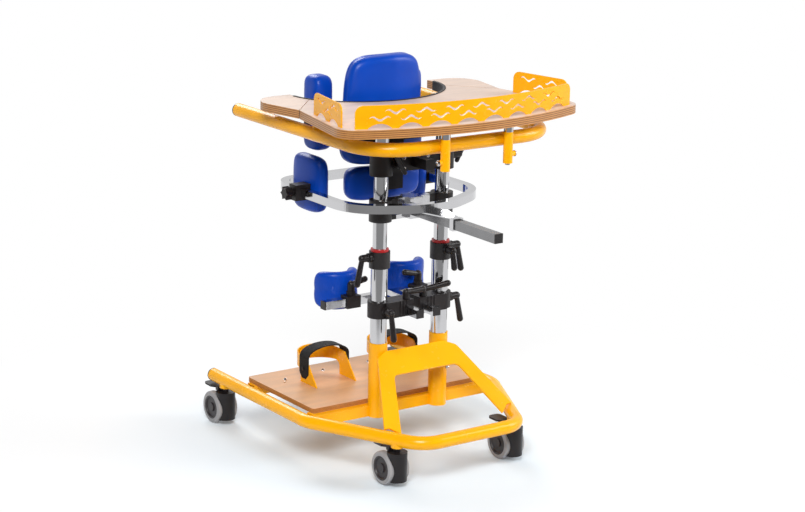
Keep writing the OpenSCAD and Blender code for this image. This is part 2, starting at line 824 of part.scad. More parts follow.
// A clamp collar with a lug for a lever towards each given heading, and the seal ring on it
module collar(headings) {
    color(black) difference() {
        union() {
            cylinder(d = collar_d, h = collar_h);
            for (a = headings) rotate([0, 0, a]) translate([0, 0, collar_lever_lift]) rotate([0, 90, 0])
                cylinder(d = lug_d, h = collar_face);
        }
        translate([0, 0, -cut]) cylinder(d = lower_d + 2 * seat_gap, h = collar_h + 2 * cut);
        for (a = headings) rotate([0, 0, a]) translate([collar_face, 0, collar_lever_lift]) stud_hole();
    }
    color(red) translate([0, 0, collar_h]) difference() {
        cylinder(d = upper_d + 2 * seal_lip, h = seal_h);
        translate([0, 0, -cut]) cylinder(d = lower_bore, h = seal_h + 2 * cut);
    }
}
module post_collars() place() {
    translate([-post_x, 0, collar_low]) collar([180]);
    translate([post_x, 0, collar_low]) collar([0, -90]);
}

// Casters, each round its swivel axis with the wheels behind it

module at_stem(i) {
    place() translate([stems[i].x, stems[i].y, 0]) children();
}
tongue_h = hood_top - hood_low - pedal_barrel_d;
tongue_reach = axle_d;
wheel_face = tongue_w / 2 + wheel_side_gap;
ear_x = pedal_root_w / 2 + ear_gap + ear_w / 2;
ear_h = pedal_pin_z + pedal_barrel_d / 2 - hood_top;
module across(y, z) {
    translate([0, y, z]) rotate([0, 90, 0]) children();
}
module caster_hood() color(black) difference() {
    union() {
        translate([0, 0, hood_low]) cylinder(d = hood_d, h = hood_top - hood_low);
        box([tongue_w, trail + tongue_reach, tongue_h],
            [0, (trail + tongue_reach) / 2, hood_low + tongue_h / 2]);
        for (side = [-1, 1])
            box([ear_w, ear_depth, ear_h], [side * ear_x, pedal_pin_y, hood_top + ear_h / 2]);
        translate([0, 0, hood_top]) cylinder(d = boss_d / 2, h = washer_h);
        translate([0, 0, hood_top]) cylinder(d = stem_d, h = stem_top - hood_top);
    }
    for (side = [-1, 1])
        translate([side * (tongue_w + hood_d) / 2, trail, axle_z]) rotate([0, 90, 0])
            cylinder(d = wheel_d + 2 * wheel_clear, h = hood_d, center = true);
    across(trail, axle_z) cylinder(d = axle_d + 2 * running, h = hood_d, center = true);
    across(pedal_pin_y, pedal_pin_z) cylinder(d = pedal_pin_d + 2 * running, h = hood_d, center = true);
}
tyre_r = 5;
hub_dish = 3;
hub_cap_d = 22;
module caster_wheels() {
    across(trail, axle_z) color(chrome)
        cylinder(d = axle_d, h = 2 * (wheel_face + wheel_w - hub_dish), center = true);
    for (side = [-1, 1]) translate([side * wheel_face, trail, axle_z]) rotate([0, side * 90, 0]) {
        color(black) difference() {
            cylinder(d = hub_d, h = wheel_w);
            translate([0, 0, -cut]) cylinder(d = axle_d + 2 * running, h = wheel_w - hub_dish + cut);
            translate([0, 0, wheel_w - hub_dish]) difference() {
                cylinder(d1 = hub_d - 4 * hub_dish, d2 = hub_d - 2 * hub_dish, h = hub_dish + cut);
                translate([0, 0, -cut]) cylinder(d = hub_cap_d, h = hub_dish + 2 * cut);
            }
        }
        color(grey) rotate_extrude() polygon(rounded(
            [
                [hub_d / 2 + running, 0], [wheel_d / 2, 0],
                [wheel_d / 2, wheel_w], [hub_d / 2 + running, wheel_w]
            ],
            [0, tyre_r, tyre_r, 0]));
    }
}
module brake_pedal() color(black) {
    across(pedal_pin_y, pedal_pin_z) cylinder(d = pedal_barrel_d, h = pedal_root_w, center = true);
    across(pedal_pin_y, pedal_pin_z) cylinder(d = pedal_pin_d, h = 2 * ear_x + ear_w, center = true);
    translate([0, 0, pedal_pin_z - pedal_t / 2]) linear_extrude(pedal_t) polygon(rounded([
        [pedal_root_w / 2, pedal_pin_y], [pedal_root_w / 2, pedal_pin_y + ear_depth],
        [pedal_w / 2, pedal_pin_y + 2 * ear_depth], [pedal_w / 2, pedal_reach],
        [-pedal_w / 2, pedal_reach], [-pedal_w / 2, pedal_pin_y + 2 * ear_depth],
        [-pedal_root_w / 2, pedal_pin_y + ear_depth], [-pedal_root_w / 2, pedal_pin_y]
    ], [0, 0, 0, pedal_w / 3, pedal_w / 3, 0, 0, 0]));
}
module caster_hood_front_left() at_stem(0) caster_hood();
module caster_hood_front_right() at_stem(1) caster_hood();
module caster_hood_rear_left() at_stem(2) caster_hood();
module caster_hood_rear_right() at_stem(3) caster_hood();
module caster_wheels_front_left() at_stem(0) caster_wheels();
module caster_wheels_front_right() at_stem(1) caster_wheels();
module caster_wheels_rear_left() at_stem(2) caster_wheels();
module caster_wheels_rear_right() at_stem(3) caster_wheels();
module brake_pedal_front_left() at_stem(0) brake_pedal();
module brake_pedal_front_right() at_stem(1) brake_pedal();
module brake_pedal_rear_left() at_stem(2) brake_pedal();
module brake_pedal_rear_right() at_stem(3) brake_pedal();

// Levers: the stud runs along -X into its hole, the handle hangs down and leans outwards

module lever(grip) color(black) {
    translate([-stud_len, 0, 0]) rotate([0, 90, 0]) cylinder(d = stud_d, h = stud_len + slide_gap);
    translate([slide_gap, 0, 0]) rotate([0, 90, 0]) cylinder(d = lever_hub_d, h = lever_hub_h);
    translate([slide_gap + lever_hub_h, 0, 0]) {
        sphere(d = lever_hub_d);
        rotate([0, 180 - lever_splay, 0]) {
            cylinder(d1 = grip_root_d, d2 = grip_tip_d, h = grip);
            translate([0, 0, grip]) sphere(d = grip_tip_d);
        }
    }
}
// A lever that stands on a top face, with its handle at the given yaw from +X
module standing_lever(grip, yaw) {
    rotate([0, 0, yaw]) rotate([0, -90, 0]) lever(grip);
}
module tee_handle() color(black) {
    translate([-stud_len, 0, 0]) rotate([0, 90, 0]) cylinder(d = stud_d, h = stud_len + slide_gap);
    translate([slide_gap, 0, 0]) rotate([0, 90, 0]) cylinder(d = lever_hub_d, h = tee_neck);
    translate([slide_gap + tee_neck, 0, 0]) rotate([tee_turn, 0, 0]) {
        cylinder(d = tee_d, h = tee_len, center = true);
        for (side = [-1, 1]) translate([0, 0, side * tee_len / 2]) sphere(d = tee_d);
    }
}
module collar_lever_left() place()
    translate([-post_x - collar_face, 0, collar_lever_z]) rotate([0, 0, 180]) lever(long_grip);
module collar_lever_right() place()
    translate([post_x + collar_face, 0, collar_lever_z]) lever(long_grip);
module collar_lever_front() place()
    translate([post_x, -collar_face, collar_lever_z]) rotate([0, 0, -90]) lever(short_grip);

// Column: upper posts, heads and table frame

module upper_posts() place() color(chrome) both() translate([post_x, 0, upper_low]) difference() {
    cylinder(d = upper_d, h = frame_cross_low - upper_low);
    translate([0, 0, -cut])
        cylinder(d = upper_d - 2 * upper_wall, h = frame_cross_low - upper_low + 2 * cut);
}

tee_left_x = -post_x + head_d / 2;
module post_heads() place() color(black) difference() {
    union() {
        both() translate([post_x, 0, head_low]) cylinder(d = head_d, h = head_h);
        box([2 * post_x, beam_depth, beam_h], [0, 0, beam_z]);
        translate([post_x, 0, beam_z]) rotate([0, 90, 0]) cylinder(d = lug_d, h = head_d / 2 + lug_h);
        translate([tee_left_x, 0, beam_z]) rotate([90, 0, 0])
            cylinder(d = lug_d, h = beam_depth / 2 + lug_h);
    }
    both() translate([post_x, 0, head_low - cut])
        cylinder(d = upper_d + 2 * seat_gap, h = head_h + 2 * cut);
    box([arm_side + 2 * slide_gap, beam_depth + 2 * cut, arm_side + 2 * slide_gap], [0, 0, beam_z]);
    translate([post_x + head_d / 2 + lug_h, 0, beam_z]) stud_hole();
    translate([tee_left_x, -beam_depth / 2 - lug_h, beam_z]) rotate([0, 0, -90]) stud_hole();
}
module tee_handle_left() place()
    translate([tee_left_x, -beam_depth / 2 - lug_h, beam_z]) rotate([0, 0, -90]) tee_handle();
module tee_handle_right() place()
    translate([post_x + head_d / 2 + lug_h, 0, beam_z]) tee_handle();

// Height and reach of the clamp boss on each rod guide
guide_boss_d = 12;
guide_boss_h = 7;
guide_boss_lift = 20;
module table_frame() place() color(yellow) difference() {
    union() {
        translate([0, 0, frame_z]) bent_rod(frame_path, frame_bend_r, tube_d);
        box([2 * frame_x, frame_cross, frame_cross], [0, 0, frame_z]);
        both() translate([post_x, guide_y, guide_low]) {
            cylinder(d = guide_d, h = guide_h);
            translate([0, 0, guide_boss_lift]) rotate([0, 90, 0])
                cylinder(d = guide_boss_d, h = guide_d / 2 + guide_boss_h);
        }
        both() translate([frame_x, rest_y, frame_z])
            cylinder(d = rest_d, h = table_low - slide_gap - frame_z);
    }
    translate([0, 0, frame_z]) bent_rod(overrun(frame_path), frame_bend_r, tube_bore);
    box([2 * frame_x - tube_bore, frame_cross - 2 * box_wall, frame_cross - 2 * box_wall],
        [0, 0, frame_z]);
    both() translate([post_x, guide_y, guide_low - cut])
        cylinder(d = rod_d + 2 * running, h = guide_h + 2 * cut);
}
module frame_end_plugs() place() color(black) both()
    translate([frame_x, frame_rear_y, frame_z]) rotate([-90, 0, 0]) end_plug();

// Table

front_centre_y = table_front_r - table_reach;
front_half_angle = asin(table_x / table_front_r);
front_edge = [
    for (k = [-front_steps : front_steps]) let (a = front_half_angle * k / front_steps)
        [table_front_r * sin(a), front_centre_y - table_front_r * cos(a)]
];
front_radii = [for (k = [-front_steps : front_steps]) abs(k) == front_steps ? table_corner_r : 0];
wing_half = [[waist_x, waist_y], [wing_x, wing_rear_y], [cutout_x / 2, wing_rear_y]];
wing_half_radii = [0, wing_r, 0];
module table_slab() translate([0, 0, table_low]) difference() {
    linear_extrude(table_t) polygon(rounded(
        concat(front_edge, wing_half, flipped(wing_half)),
        concat(front_radii, wing_half_radii, reversed(wing_half_radii))));
    translate([0, 0, -cut]) linear_extrude(table_t + 2 * cut) polygon([
        for (k = [0 : cutout_steps - 1]) let (a = 360 * k / cutout_steps)
            [cutout_x * cos(a), cutout_y + (a < 180 ? cutout_y : cutout_depth) * sin(a)]
    ]);
}
// The seam runs from the waist to the cut-out's side
seam_in_x = 190;
seam_in_y = 150;
seam_heading = atan2(seam_in_y - waist_y, seam_in_x - waist_x) - 180;
module beyond_seam(gap) both()
    translate([waist_x, waist_y, table_low - cut]) rotate([0, 0, seam_heading])
        translate([-table_x, gap, 0]) cube([2 * table_x, table_x, table_t + 2 * cut]);
module table_panels() place() color(beech) {
    difference() {
        table_slab();
        beyond_seam(-seam_w / 2);
    }
    intersection() {
        table_slab();
        beyond_seam(seam_w / 2);
    }
}

// A wave slot along X, cut through a sheet that stands in the XZ plane
function wave_edge(side, edge, s) =
    [s * wave_len / 2, side * wave_rise * cos(180 * wave_turns * s) + edge * wave_w / 2 * (1 - s * s)];
module through_sheet() rotate([90, 0, 0]) translate([0, 0, -fence_t])
    linear_extrude(2 * fence_t) children();
module wave_slot(side) through_sheet() polygon(concat(
    [for (k = [-wave_steps : wave_steps]) wave_edge(side, -1, k / wave_steps)],
    [for (k = [wave_steps - 1 : -1 : 1 - wave_steps]) wave_edge(side, 1, k / wave_steps)]));
module scallop() through_sheet() polygon([
    for (k = [-wave_steps : wave_steps]) let (s = k / wave_steps)
        [s * scallop_w / 2, abs(k) == wave_steps ? -cut : scallop_h * (1 - s * s)]
]);
// Heights of the two slot rows as shares of the fence
upper_row_share = 0.72;
lower_row_share = 0.43;

// The upper corner of a sheet's end at the origin, on the side given
module corner_cut(side) through_sheet() polygon(concat(
    [[side * cut, -fence_r], [side * cut, cut], [-side * fence_r, cut]],
    [for (k = [1 : corner_steps - 1]) let (a = 90 - 90 * k / corner_steps)
        fence_r * [side * (cos(a) - 1), sin(a) - 1]]));

fence_arc_r = table_front_r - fence_inset;
fence_half_angle = front_half_angle - fence_corner_gap / fence_arc_r * 180 / PI;
wave_turn = wave_pitch / fence_arc_r * 180 / PI;
front_waves = floor(fence_half_angle / wave_turn) - 1;
module front_fence() translate([0, front_centre_y, table_top_z]) difference() {
    rotate([0, 0, -90 - fence_half_angle]) rotate_extrude(angle = 2 * fence_half_angle, $fn = 360)
        translate([fence_arc_r - fence_t, 0]) square([fence_t, fence_h]);
    for (k = [-front_waves : front_waves]) rotate([0, 0, k * wave_turn])
        translate([0, -fence_arc_r + fence_t / 2, 0]) {
            translate([0, 0, fence_h * upper_row_share]) wave_slot(k % 2 == 0 ? 1 : -1);
        }
    for (k = [-front_waves - 1 : front_waves]) rotate([0, 0, (k + 0.5) * wave_turn])
        translate([0, -fence_arc_r + fence_t / 2, 0]) {
            translate([0, 0, fence_h * lower_row_share]) wave_slot(k % 2 == 0 ? -1 : 1);
            scallop();
        }
    for (side = [-1, 1]) rotate([0, 0, side * fence_half_angle])
        translate([0, -fence_arc_r + fence_t / 2, fence_h]) corner_cut(side);
}
// The side fences follow the table's tapering sides
side_heading = atan2(front_edge[2 * front_steps].y - waist_y, table_x - waist_x);
module side_fence() translate([table_x, front_edge[2 * front_steps].y, table_top_z])
    rotate([0, 0, side_heading + 180]) translate([side_fence_start, fence_inset, 0]) difference() {
        rotate([90, 0, 0]) linear_extrude(fence_t, center = true) polygon(rounded(
            [[0, 0], [side_fence_len, 0], [side_fence_len, fence_h], [0, fence_h]],
            [0, 0, fence_r, fence_r]));
        for (k = [0 : 1]) translate([side_fence_len / 2 + (k - 0.5) * wave_pitch, 0, 0]) {
            translate([0, 0, fence_h * upper_row_share]) wave_slot(k == 0 ? 1 : -1);
            scallop();
        }
        translate([side_fence_len / 2, 0, fence_h * lower_row_share]) wave_slot(1);
    }
module table_fence() place() color(yellow) {
    front_fence();
    both() side_fence();
}

rod_low = guide_low - rod_tip;
// Flat battens under the seams carry the wings
module table_fittings() place() color(chrome) both() {
    translate([post_x, guide_y, 0]) {
        translate([0, 0, rod_low]) cylinder(d = rod_d, h = table_low - rod_low);
        translate([0, 0, guide_top + slide_gap])
            cylinder(d = rod_flange_d, h = table_low - guide_top - slide_gap);
    }
    translate([(waist_x + seam_in_x) / 2, (waist_y + seam_in_y) / 2, table_low - batten_t / 2])
        rotate([0, 0, seam_heading]) box([batten_w, batten_len, batten_t], [0, 0, 0]);
}

// Chest unit: a square arm through the beam, a plate, the pads and the side pads' arms

pad_front_y = plate_y + plate_t + slide_gap;
side_arm_x = side_x + side_size.z / 2 + slide_gap;
module pad_carrier() place() color(black) {
    box([arm_side, arm_reach + plate_y, arm_side], [0, (plate_y - arm_reach) / 2, beam_z]);
    box([plate_w, plate_t, plate_high - plate_low],
        [0, plate_y + plate_t / 2, (plate_high + plate_low) / 2]);
    both() {
        box([side_arm_x + side_arm_t - plate_w / 2, side_arm_t, side_arm_h],
            [(side_arm_x + side_arm_t + plate_w / 2) / 2, plate_y + plate_t - side_arm_t / 2,
                side_arm_z]);
        box([side_arm_t, side_y + side_arm_h / 2 - plate_y, side_arm_h],
            [side_arm_x + side_arm_t / 2, (side_y + side_arm_h / 2 + plate_y) / 2, side_arm_z]);
        box([side_arm_t, side_arm_h, side_z - side_arm_z + side_arm_h / 2],
            [side_arm_x + side_arm_t / 2, side_y, (side_z + side_arm_z + side_arm_h / 2) / 2]);
    }
}
module chest_pad() place() translate([0, pad_front_y + chest_size.z / 2, chest_z])
    upright_pad(chest_size, chest_bend_r, chest_taper_share);
module pelvis_pad() place() translate([0, pad_front_y + pelvis_size.z / 2, pelvis_z])
    upright_pad(pelvis_size, pelvis_bend_r);
side_bend_r = 400;
module side_pads() place() both() translate([side_x, side_y, side_z]) rotate([90, 0, -90])
    pad(side_size, side_bend_r);

// Hip unit

module hip_carrier() place() color(black) difference() {
    union() {
        both() translate([post_x, 0, sleeve_low]) cylinder(d = sleeve_d, h = sleeve_h);
        box([2 * post_x, hip_cross, hip_cross], [0, 0, sleeve_low + sleeve_h - hip_cross / 2]);
        box([guide_block_w, guide_block_depth, sleeve_h], [0, 0, sleeve_low + sleeve_h / 2]);
        box([2 * post_x, hip_cross / 2, hip_cross / 2], [0, 0, sleeve_low + hip_cross / 4]);
    }
    both() translate([post_x, 0, sleeve_low - cut]) cylinder(d = lower_bore, h = sleeve_h + 2 * cut);
    box([hip_bar_side + 2 * slide_gap, guide_block_depth + 2 * cut, hip_bar_side + 2 * slide_gap],
        [0, 0, hip_bar_z]);
}
module hip_bar() place() {
    color(chrome) box([hip_bar_side, hip_bar_reach + hip_bar_rear_y - plug_cap, hip_bar_side],
        [0, (hip_bar_rear_y + plug_cap - hip_bar_reach) / 2, hip_bar_z]);
    color(black)
        box([hip_bar_side, plug_cap, hip_bar_side], [0, plug_cap / 2 - hip_bar_reach, hip_bar_z]);
}
// Outline of the ring, grown by a distance from its axis
ring_slope = atan2(ring_tip_reach - ring_shoulder_reach, ring_x);
function ring_outline(grow) =
    let (
        x = ring_x + grow, rear = ring_rear_y + grow,
        shoulder = -ring_shoulder_reach - grow * cos(ring_slope) / (1 + sin(ring_slope)),
        tip = -ring_tip_reach - grow / cos(ring_slope)
    )
    rounded(
        [[-x, rear], [x, rear], [x, shoulder], [0, tip], [-x, shoulder]],
        [for (r = [ring_corner_r, ring_corner_r, ring_shoulder_r, ring_tip_r, ring_shoulder_r]) r + grow],
        ring_steps);
// A closed ring of square section
module ring_sweep(side) translate([0, 0, -side / 2]) linear_extrude(side) difference() {
    polygon(ring_outline(side / 2));
    polygon(ring_outline(-side / 2));
}
ring_apex_y = ring_tip_r * (1 / cos(ring_slope) - 1) - ring_tip_reach;
bracket_z = hip_bar_z + hip_bar_side / 2;
band_x = hip_bar_side / 2 + seat_gap;
band_low = bracket_z - hip_bar_side - seat_gap - bracket_t;
module hip_ring() place() color(chrome) {
    translate([0, 0, ring_z]) difference() {
        ring_sweep(ring_side);
        ring_sweep(ring_side - 2 * ring_wall);
    }
    translate([0, 0, bracket_z]) linear_extrude(bracket_t) polygon([
        [bracket_x, ring_apex_y + ring_side / 2], [band_x, band_len - band_reach], [band_x, -band_reach],
        [-band_x, -band_reach], [-band_x, band_len - band_reach],
        [-bracket_x, ring_apex_y + ring_side / 2]
    ]);
    translate([0, band_len / 2 - band_reach, 0]) {
        for (side = [-1, 1])
            box([bracket_t, band_len, bracket_z + bracket_t - band_low],
                [side * (band_x + bracket_t / 2), 0, (bracket_z + bracket_t + band_low) / 2]);
        box([2 * (band_x + bracket_t), band_len, bracket_t], [0, 0, band_low + bracket_t / 2]);
    }
}
// Places on a side of the ring, at its clamp; local +X points outwards
module on_ring(side) {
    place() translate([side * ring_x, clamp_y, ring_z]) rotate([0, 0, side > 0 ? 0 : 180]) children();
}
clamp_slot = ring_side + 2 * slide_gap;
clamp_in = clamp_slot / 2 + clamp_inner;
clamp_out = clamp_slot / 2 + clamp_outer;
module ring_clamp(side) on_ring(side) difference() {
    box([clamp_out + clamp_in, clamp_w, clamp_h], [(clamp_out - clamp_in) / 2, 0, 0]);
    box([clamp_slot, clamp_w + 2 * cut, clamp_slot], [0, 0, 0]);
    translate([clamp_out, 0, 0]) stud_hole();
}
module hip_clamps() color(black) {
    ring_clamp(-1);
    ring_clamp(1);
}
module hip_pad(side) on_ring(side)
    translate([-clamp_in - slide_gap - hip_pad_size.z / 2, side * hip_pad_shift, hip_pad_lift])
        rotate([90, 0, -90]) pad(hip_pad_size, hip_pad_bend_r);
module hip_pad_left() hip_pad(-1);
module hip_pad_right() hip_pad(1);
lobe_share = 0.34;
module hip_knob(side) on_ring(side) translate([clamp_out, 0, 0]) color(black) {
    translate([-stud_len, 0, 0]) rotate([0, 90, 0]) cylinder(d = stud_d, h = stud_len + slide_gap);
    translate([slide_gap, 0, 0]) rotate([0, 90, 0]) {
        cylinder(d = lever_hub_d, h = knob_h);
        difference() {
            translate([0, 0, knob_h / 3]) cylinder(d = knob_d, h = knob_h);
            for (k = [0 : knob_lobes - 1]) rotate([0, 0, 360 * k / knob_lobes])
                translate([knob_d * (1 + lobe_share) / 2, 0, 0])
                    cylinder(d = knob_d * lobe_share * 2, h = 2 * knob_h);
        }
    }
}
module hip_knob_left() hip_knob(-1);
module hip_knob_right() hip_knob(1);

// Knee units: clamp block on the lower post, sliding L bar, cup on its bracket

block_arm_in = knee_bar_x - knee_bar_side / 2 - slide_gap - knee_bracket_wall;
block_arm_y = block_arm_depth / 2 - block_arm_front;
bar_lever_y = -block_arm_front + lug_d / 2;
rib_pitch = 3 * rib_w;
// Clearance of the ribs' cuts in the arm's front face
rib_depth = 1.5;
module knee_block(stud_heading) difference() {
    union() {
        translate([post_x, 0, block_low]) cylinder(d = block_d, h = block_h);
        box([post_x - block_arm_in, block_arm_depth, block_h],
            [(post_x + block_arm_in) / 2, block_arm_y, block_low + block_h / 2]);
        translate([post_x, 0, block_low + block_h / 2]) rotate([0, 90, stud_heading])
            cylinder(d = lug_d, h = block_face);
    }
    translate([post_x, 0, block_low - cut]) cylinder(d = lower_d + 2 * running, h = block_h + 2 * cut);
    box([knee_bar_side + 2 * slide_gap, 2 * (block_arm_depth + block_arm_front),
        knee_bar_side + 2 * slide_gap], [knee_bar_x, 0, knee_bar_z]);
    translate([post_x, 0, block_low + block_h / 2]) rotate([0, 0, stud_heading])
        translate([block_face, 0, 0]) stud_hole();
    translate([knee_bar_x, bar_lever_y, block_top]) rotate([0, -90, 0]) stud_hole();
    for (k = [0 : 2])
        box([rib_w, 2 * rib_depth, block_h + 2 * cut],
            [block_arm_in + lug_d + k * rib_pitch, -block_arm_front, block_low + block_h / 2]);
}
module knee_block_left() place() color(black) mirror([1, 0, 0]) knee_block(-90);
module knee_block_right() place() color(black) knee_block(0);

module knee_bar() {
    knee_bar_rear = knee_cross_y + knee_bar_side / 2;
    color(chrome) {
        box([knee_bar_side, knee_bar_reach + knee_bar_rear - plug_cap, knee_bar_side],
            [knee_bar_x, (knee_bar_rear + plug_cap - knee_bar_reach) / 2, knee_bar_z]);
        box([knee_cross_x - plug_cap - knee_bar_x, knee_bar_side, knee_bar_side],
            [(knee_cross_x - plug_cap + knee_bar_x) / 2, knee_cross_y, knee_bar_z]);
    }
    color(black) {
        box([knee_bar_side, plug_cap, knee_bar_side],
            [knee_bar_x, plug_cap / 2 - knee_bar_reach, knee_bar_z]);
        box([plug_cap, knee_bar_side, knee_bar_side],
            [knee_cross_x - plug_cap / 2, knee_cross_y, knee_bar_z]);
    }
}
module knee_bar_left() place() mirror([1, 0, 0]) knee_bar();
module knee_bar_right() place() knee_bar();

knee_bracket_side = knee_bar_side + 2 * slide_gap + 2 * knee_bracket_wall;
knee_bracket_rear = knee_cross_y + knee_bracket_side / 2;
knee_lug_top = knee_bar_z + knee_lug;
module knee_bracket() color(black) difference() {
    union() {
        box([knee_bracket_w, knee_bracket_side, knee_bracket_side], [knee_x, knee_cross_y, knee_bar_z]);
        translate([knee_x, knee_cross_y, knee_bar_z]) cylinder(d = lug_d, h = knee_lug);
    }
    box([knee_bracket_w + 2 * cut, knee_bar_side + 2 * slide_gap, knee_bar_side + 2 * slide_gap],
        [knee_x, knee_cross_y, knee_bar_z]);
    translate([knee_x, knee_cross_y, knee_lug_top]) rotate([0, -90, 0]) stud_hole();
}
module knee_bracket_left() place() mirror([1, 0, 0]) knee_bracket();
module knee_bracket_right() place() knee_bracket();

knee_mid_y = knee_bracket_rear + slide_gap + knee_size.z / 2;
module knee_pad() translate([knee_x, knee_mid_y, knee_z]) upright_pad(knee_size, knee_bend_r);
module knee_pad_left() place() mirror([1, 0, 0]) knee_pad();
module knee_pad_right() place() knee_pad();

block_lever_z = block_low + block_h / 2;
module block_lever_left() place()
    translate([-post_x, -block_face, block_lever_z]) rotate([0, 0, -90]) lever(long_grip);
module block_lever_right() place() translate([post_x + block_face, 0, block_lever_z]) lever(long_grip);
module bar_lever_left() place()
    translate([-knee_bar_x, bar_lever_y, block_top]) standing_lever(short_grip, left_bar_lever_yaw);
module bar_lever_right() place()
    translate([knee_bar_x, bar_lever_y, block_top]) standing_lever(long_grip, right_bar_lever_yaw);
module cup_lever_left() place()
    translate([-knee_x, knee_cross_y, knee_lug_top]) standing_lever(short_grip, 0);
module cup_lever_right() place()
    translate([knee_x, knee_cross_y, knee_lug_top]) standing_lever(short_grip, 180);

base_tube();
post_carrier();
rear_crossbar();
brace_plate();
base_fittings();
footboard();
foot_sandals();
foot_straps();
lower_posts();
post_collars();
caster_hood_front_left();
caster_hood_front_right();
caster_hood_rear_left();
caster_hood_rear_right();
caster_wheels_front_left();
caster_wheels_front_right();
caster_wheels_rear_left();
caster_wheels_rear_right();
brake_pedal_front_left();
brake_pedal_front_right();
brake_pedal_rear_left();
brake_pedal_rear_right();
collar_lever_left();
collar_lever_right();
collar_lever_front();
upper_posts();
post_heads();
table_frame();
frame_end_plugs();
tee_handle_left();
tee_handle_right();
table_panels();
table_fence();
table_fittings();
pad_carrier();
chest_pad();
pelvis_pad();
side_pads();
hip_carrier();
hip_bar();
hip_ring();
hip_clamps();
hip_pad_left();
hip_pad_right();
hip_knob_left();
hip_knob_right();
knee_block_left();
knee_block_right();
knee_bar_left();
knee_bar_right();
knee_bracket_left();
knee_bracket_right();
knee_pad_left();
knee_pad_right();
block_lever_left();
block_lever_right();
bar_lever_left();
bar_lever_right();
cup_lever_left();
cup_lever_right();
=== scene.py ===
"""Looks of a child's standing frame: finishes, upholstery, straps, fasteners, studio floor and camera."""

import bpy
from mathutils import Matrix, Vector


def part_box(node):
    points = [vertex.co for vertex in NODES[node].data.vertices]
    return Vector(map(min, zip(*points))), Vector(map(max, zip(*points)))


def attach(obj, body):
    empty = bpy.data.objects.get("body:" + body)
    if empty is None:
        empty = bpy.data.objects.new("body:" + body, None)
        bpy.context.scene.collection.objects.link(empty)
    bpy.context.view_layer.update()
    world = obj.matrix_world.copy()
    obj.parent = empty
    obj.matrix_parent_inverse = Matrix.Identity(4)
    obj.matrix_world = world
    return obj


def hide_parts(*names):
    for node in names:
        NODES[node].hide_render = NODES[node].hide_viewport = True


bl_info = {
    "name": "Standing frame looks",
    "version": (1, 0, 0),
    "blender": (4, 5, 0),
    "location": "View3D > Sidebar > Standing frame",
    "description": "Dresses the packed standing frame with upholstery, straps, fittings and finishes",
    "category": "Object",
}

import math
from collections import namedtuple

import bmesh
import bpy
from mathutils import Matrix, Vector

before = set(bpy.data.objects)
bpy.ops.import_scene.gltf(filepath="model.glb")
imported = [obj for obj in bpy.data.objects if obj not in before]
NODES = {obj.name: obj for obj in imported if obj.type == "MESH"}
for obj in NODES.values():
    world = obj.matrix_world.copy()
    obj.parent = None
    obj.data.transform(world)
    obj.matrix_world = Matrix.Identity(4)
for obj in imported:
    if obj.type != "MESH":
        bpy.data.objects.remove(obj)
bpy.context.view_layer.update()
# Width of the picture in pixels, to which the camera's focal length refers
IMAGE_W = 805
# Place of the posts' axes along Y
POST_Y = -0.065
CORNERS = ("front_left", "front_right", "rear_left", "rear_right")
LEVERS = (
    "collar_lever_left", "collar_lever_right", "collar_lever_front", "block_lever_left", "block_lever_right",
    "bar_lever_left", "bar_lever_right", "cup_lever_left", "cup_lever_right",
)


class StandFinishes(bpy.types.PropertyGroup):
    """Colours of the frame's finishes"""

    paint: bpy.props.FloatVectorProperty(
        name="Paint", description="Golden yellow powder coat", subtype="COLOR", size=3,
        default=(0.95, 0.43, 0.001), min=0.0, max=1.0)
    vinyl: bpy.props.FloatVectorProperty(
        name="Vinyl", description="Royal blue upholstery", subtype="COLOR", size=3,
        default=(0.0010, 0.054, 0.43), min=0.0, max=1.0)
    plastic: bpy.props.FloatVectorProperty(
        name="Plastic", description="Black moulded plastic", subtype="COLOR", size=3,
        default=(0.0085, 0.0062, 0.0066), min=0.0, max=1.0)
    chrome: bpy.props.FloatVectorProperty(
        name="Chrome", description="Chrome plate", subtype="COLOR", size=3,
        default=(0.60, 0.60, 0.615), min=0.0, max=1.0)
    wood: bpy.props.FloatVectorProperty(
        name="Wood", description="Beech veneer on the table", subtype="COLOR", size=3,
        default=(0.66, 0.50, 0.405), min=0.0, max=1.0)
    board: bpy.props.FloatVectorProperty(
        name="Board", description="Beech veneer on the footboard", subtype="COLOR", size=3,
        default=(0.66, 0.36, 0.175), min=0.0, max=1.0)
    seal: bpy.props.FloatVectorProperty(
        name="Seal", description="Red seal rings on the collars", subtype="COLOR", size=3,
        default=(0.42, 0.012, 0.014), min=0.0, max=1.0)
    tyre: bpy.props.FloatVectorProperty(
        name="Tyre", description="Grey caster tyres", subtype="COLOR", size=3,
        default=(0.32, 0.308, 0.31), min=0.0, max=1.0)


class StandSizes(bpy.types.PropertyGroup):
    """Sizes of the soft pieces and the edging"""

    strap_width: bpy.props.FloatProperty(
        name="Strap width", description="Width of the instep webbing", unit="LENGTH", default=0.040, min=0.0)
    strap_thickness: bpy.props.FloatProperty(
        name="Strap thickness", description="Thickness of the instep webbing", unit="LENGTH", default=0.0026,
        min=0.0)
    edging_lip: bpy.props.FloatProperty(
        name="Edging lip", description="Reach of the rubber channel over the table", unit="LENGTH",
        default=0.005, min=0.0)
    edging_thickness: bpy.props.FloatProperty(
        name="Edging thickness", description="Wall of the rubber channel", unit="LENGTH", default=0.0016,
        min=0.0)
    swell: bpy.props.FloatProperty(
        name="Swell", description="How far the stuffing may push a cover out", unit="LENGTH", default=0.004,
        min=0.0)
    pressure: bpy.props.FloatProperty(
        name="Stuffing pressure", description="Pressure of the stuffing in the covers", default=4.0, min=0.0)


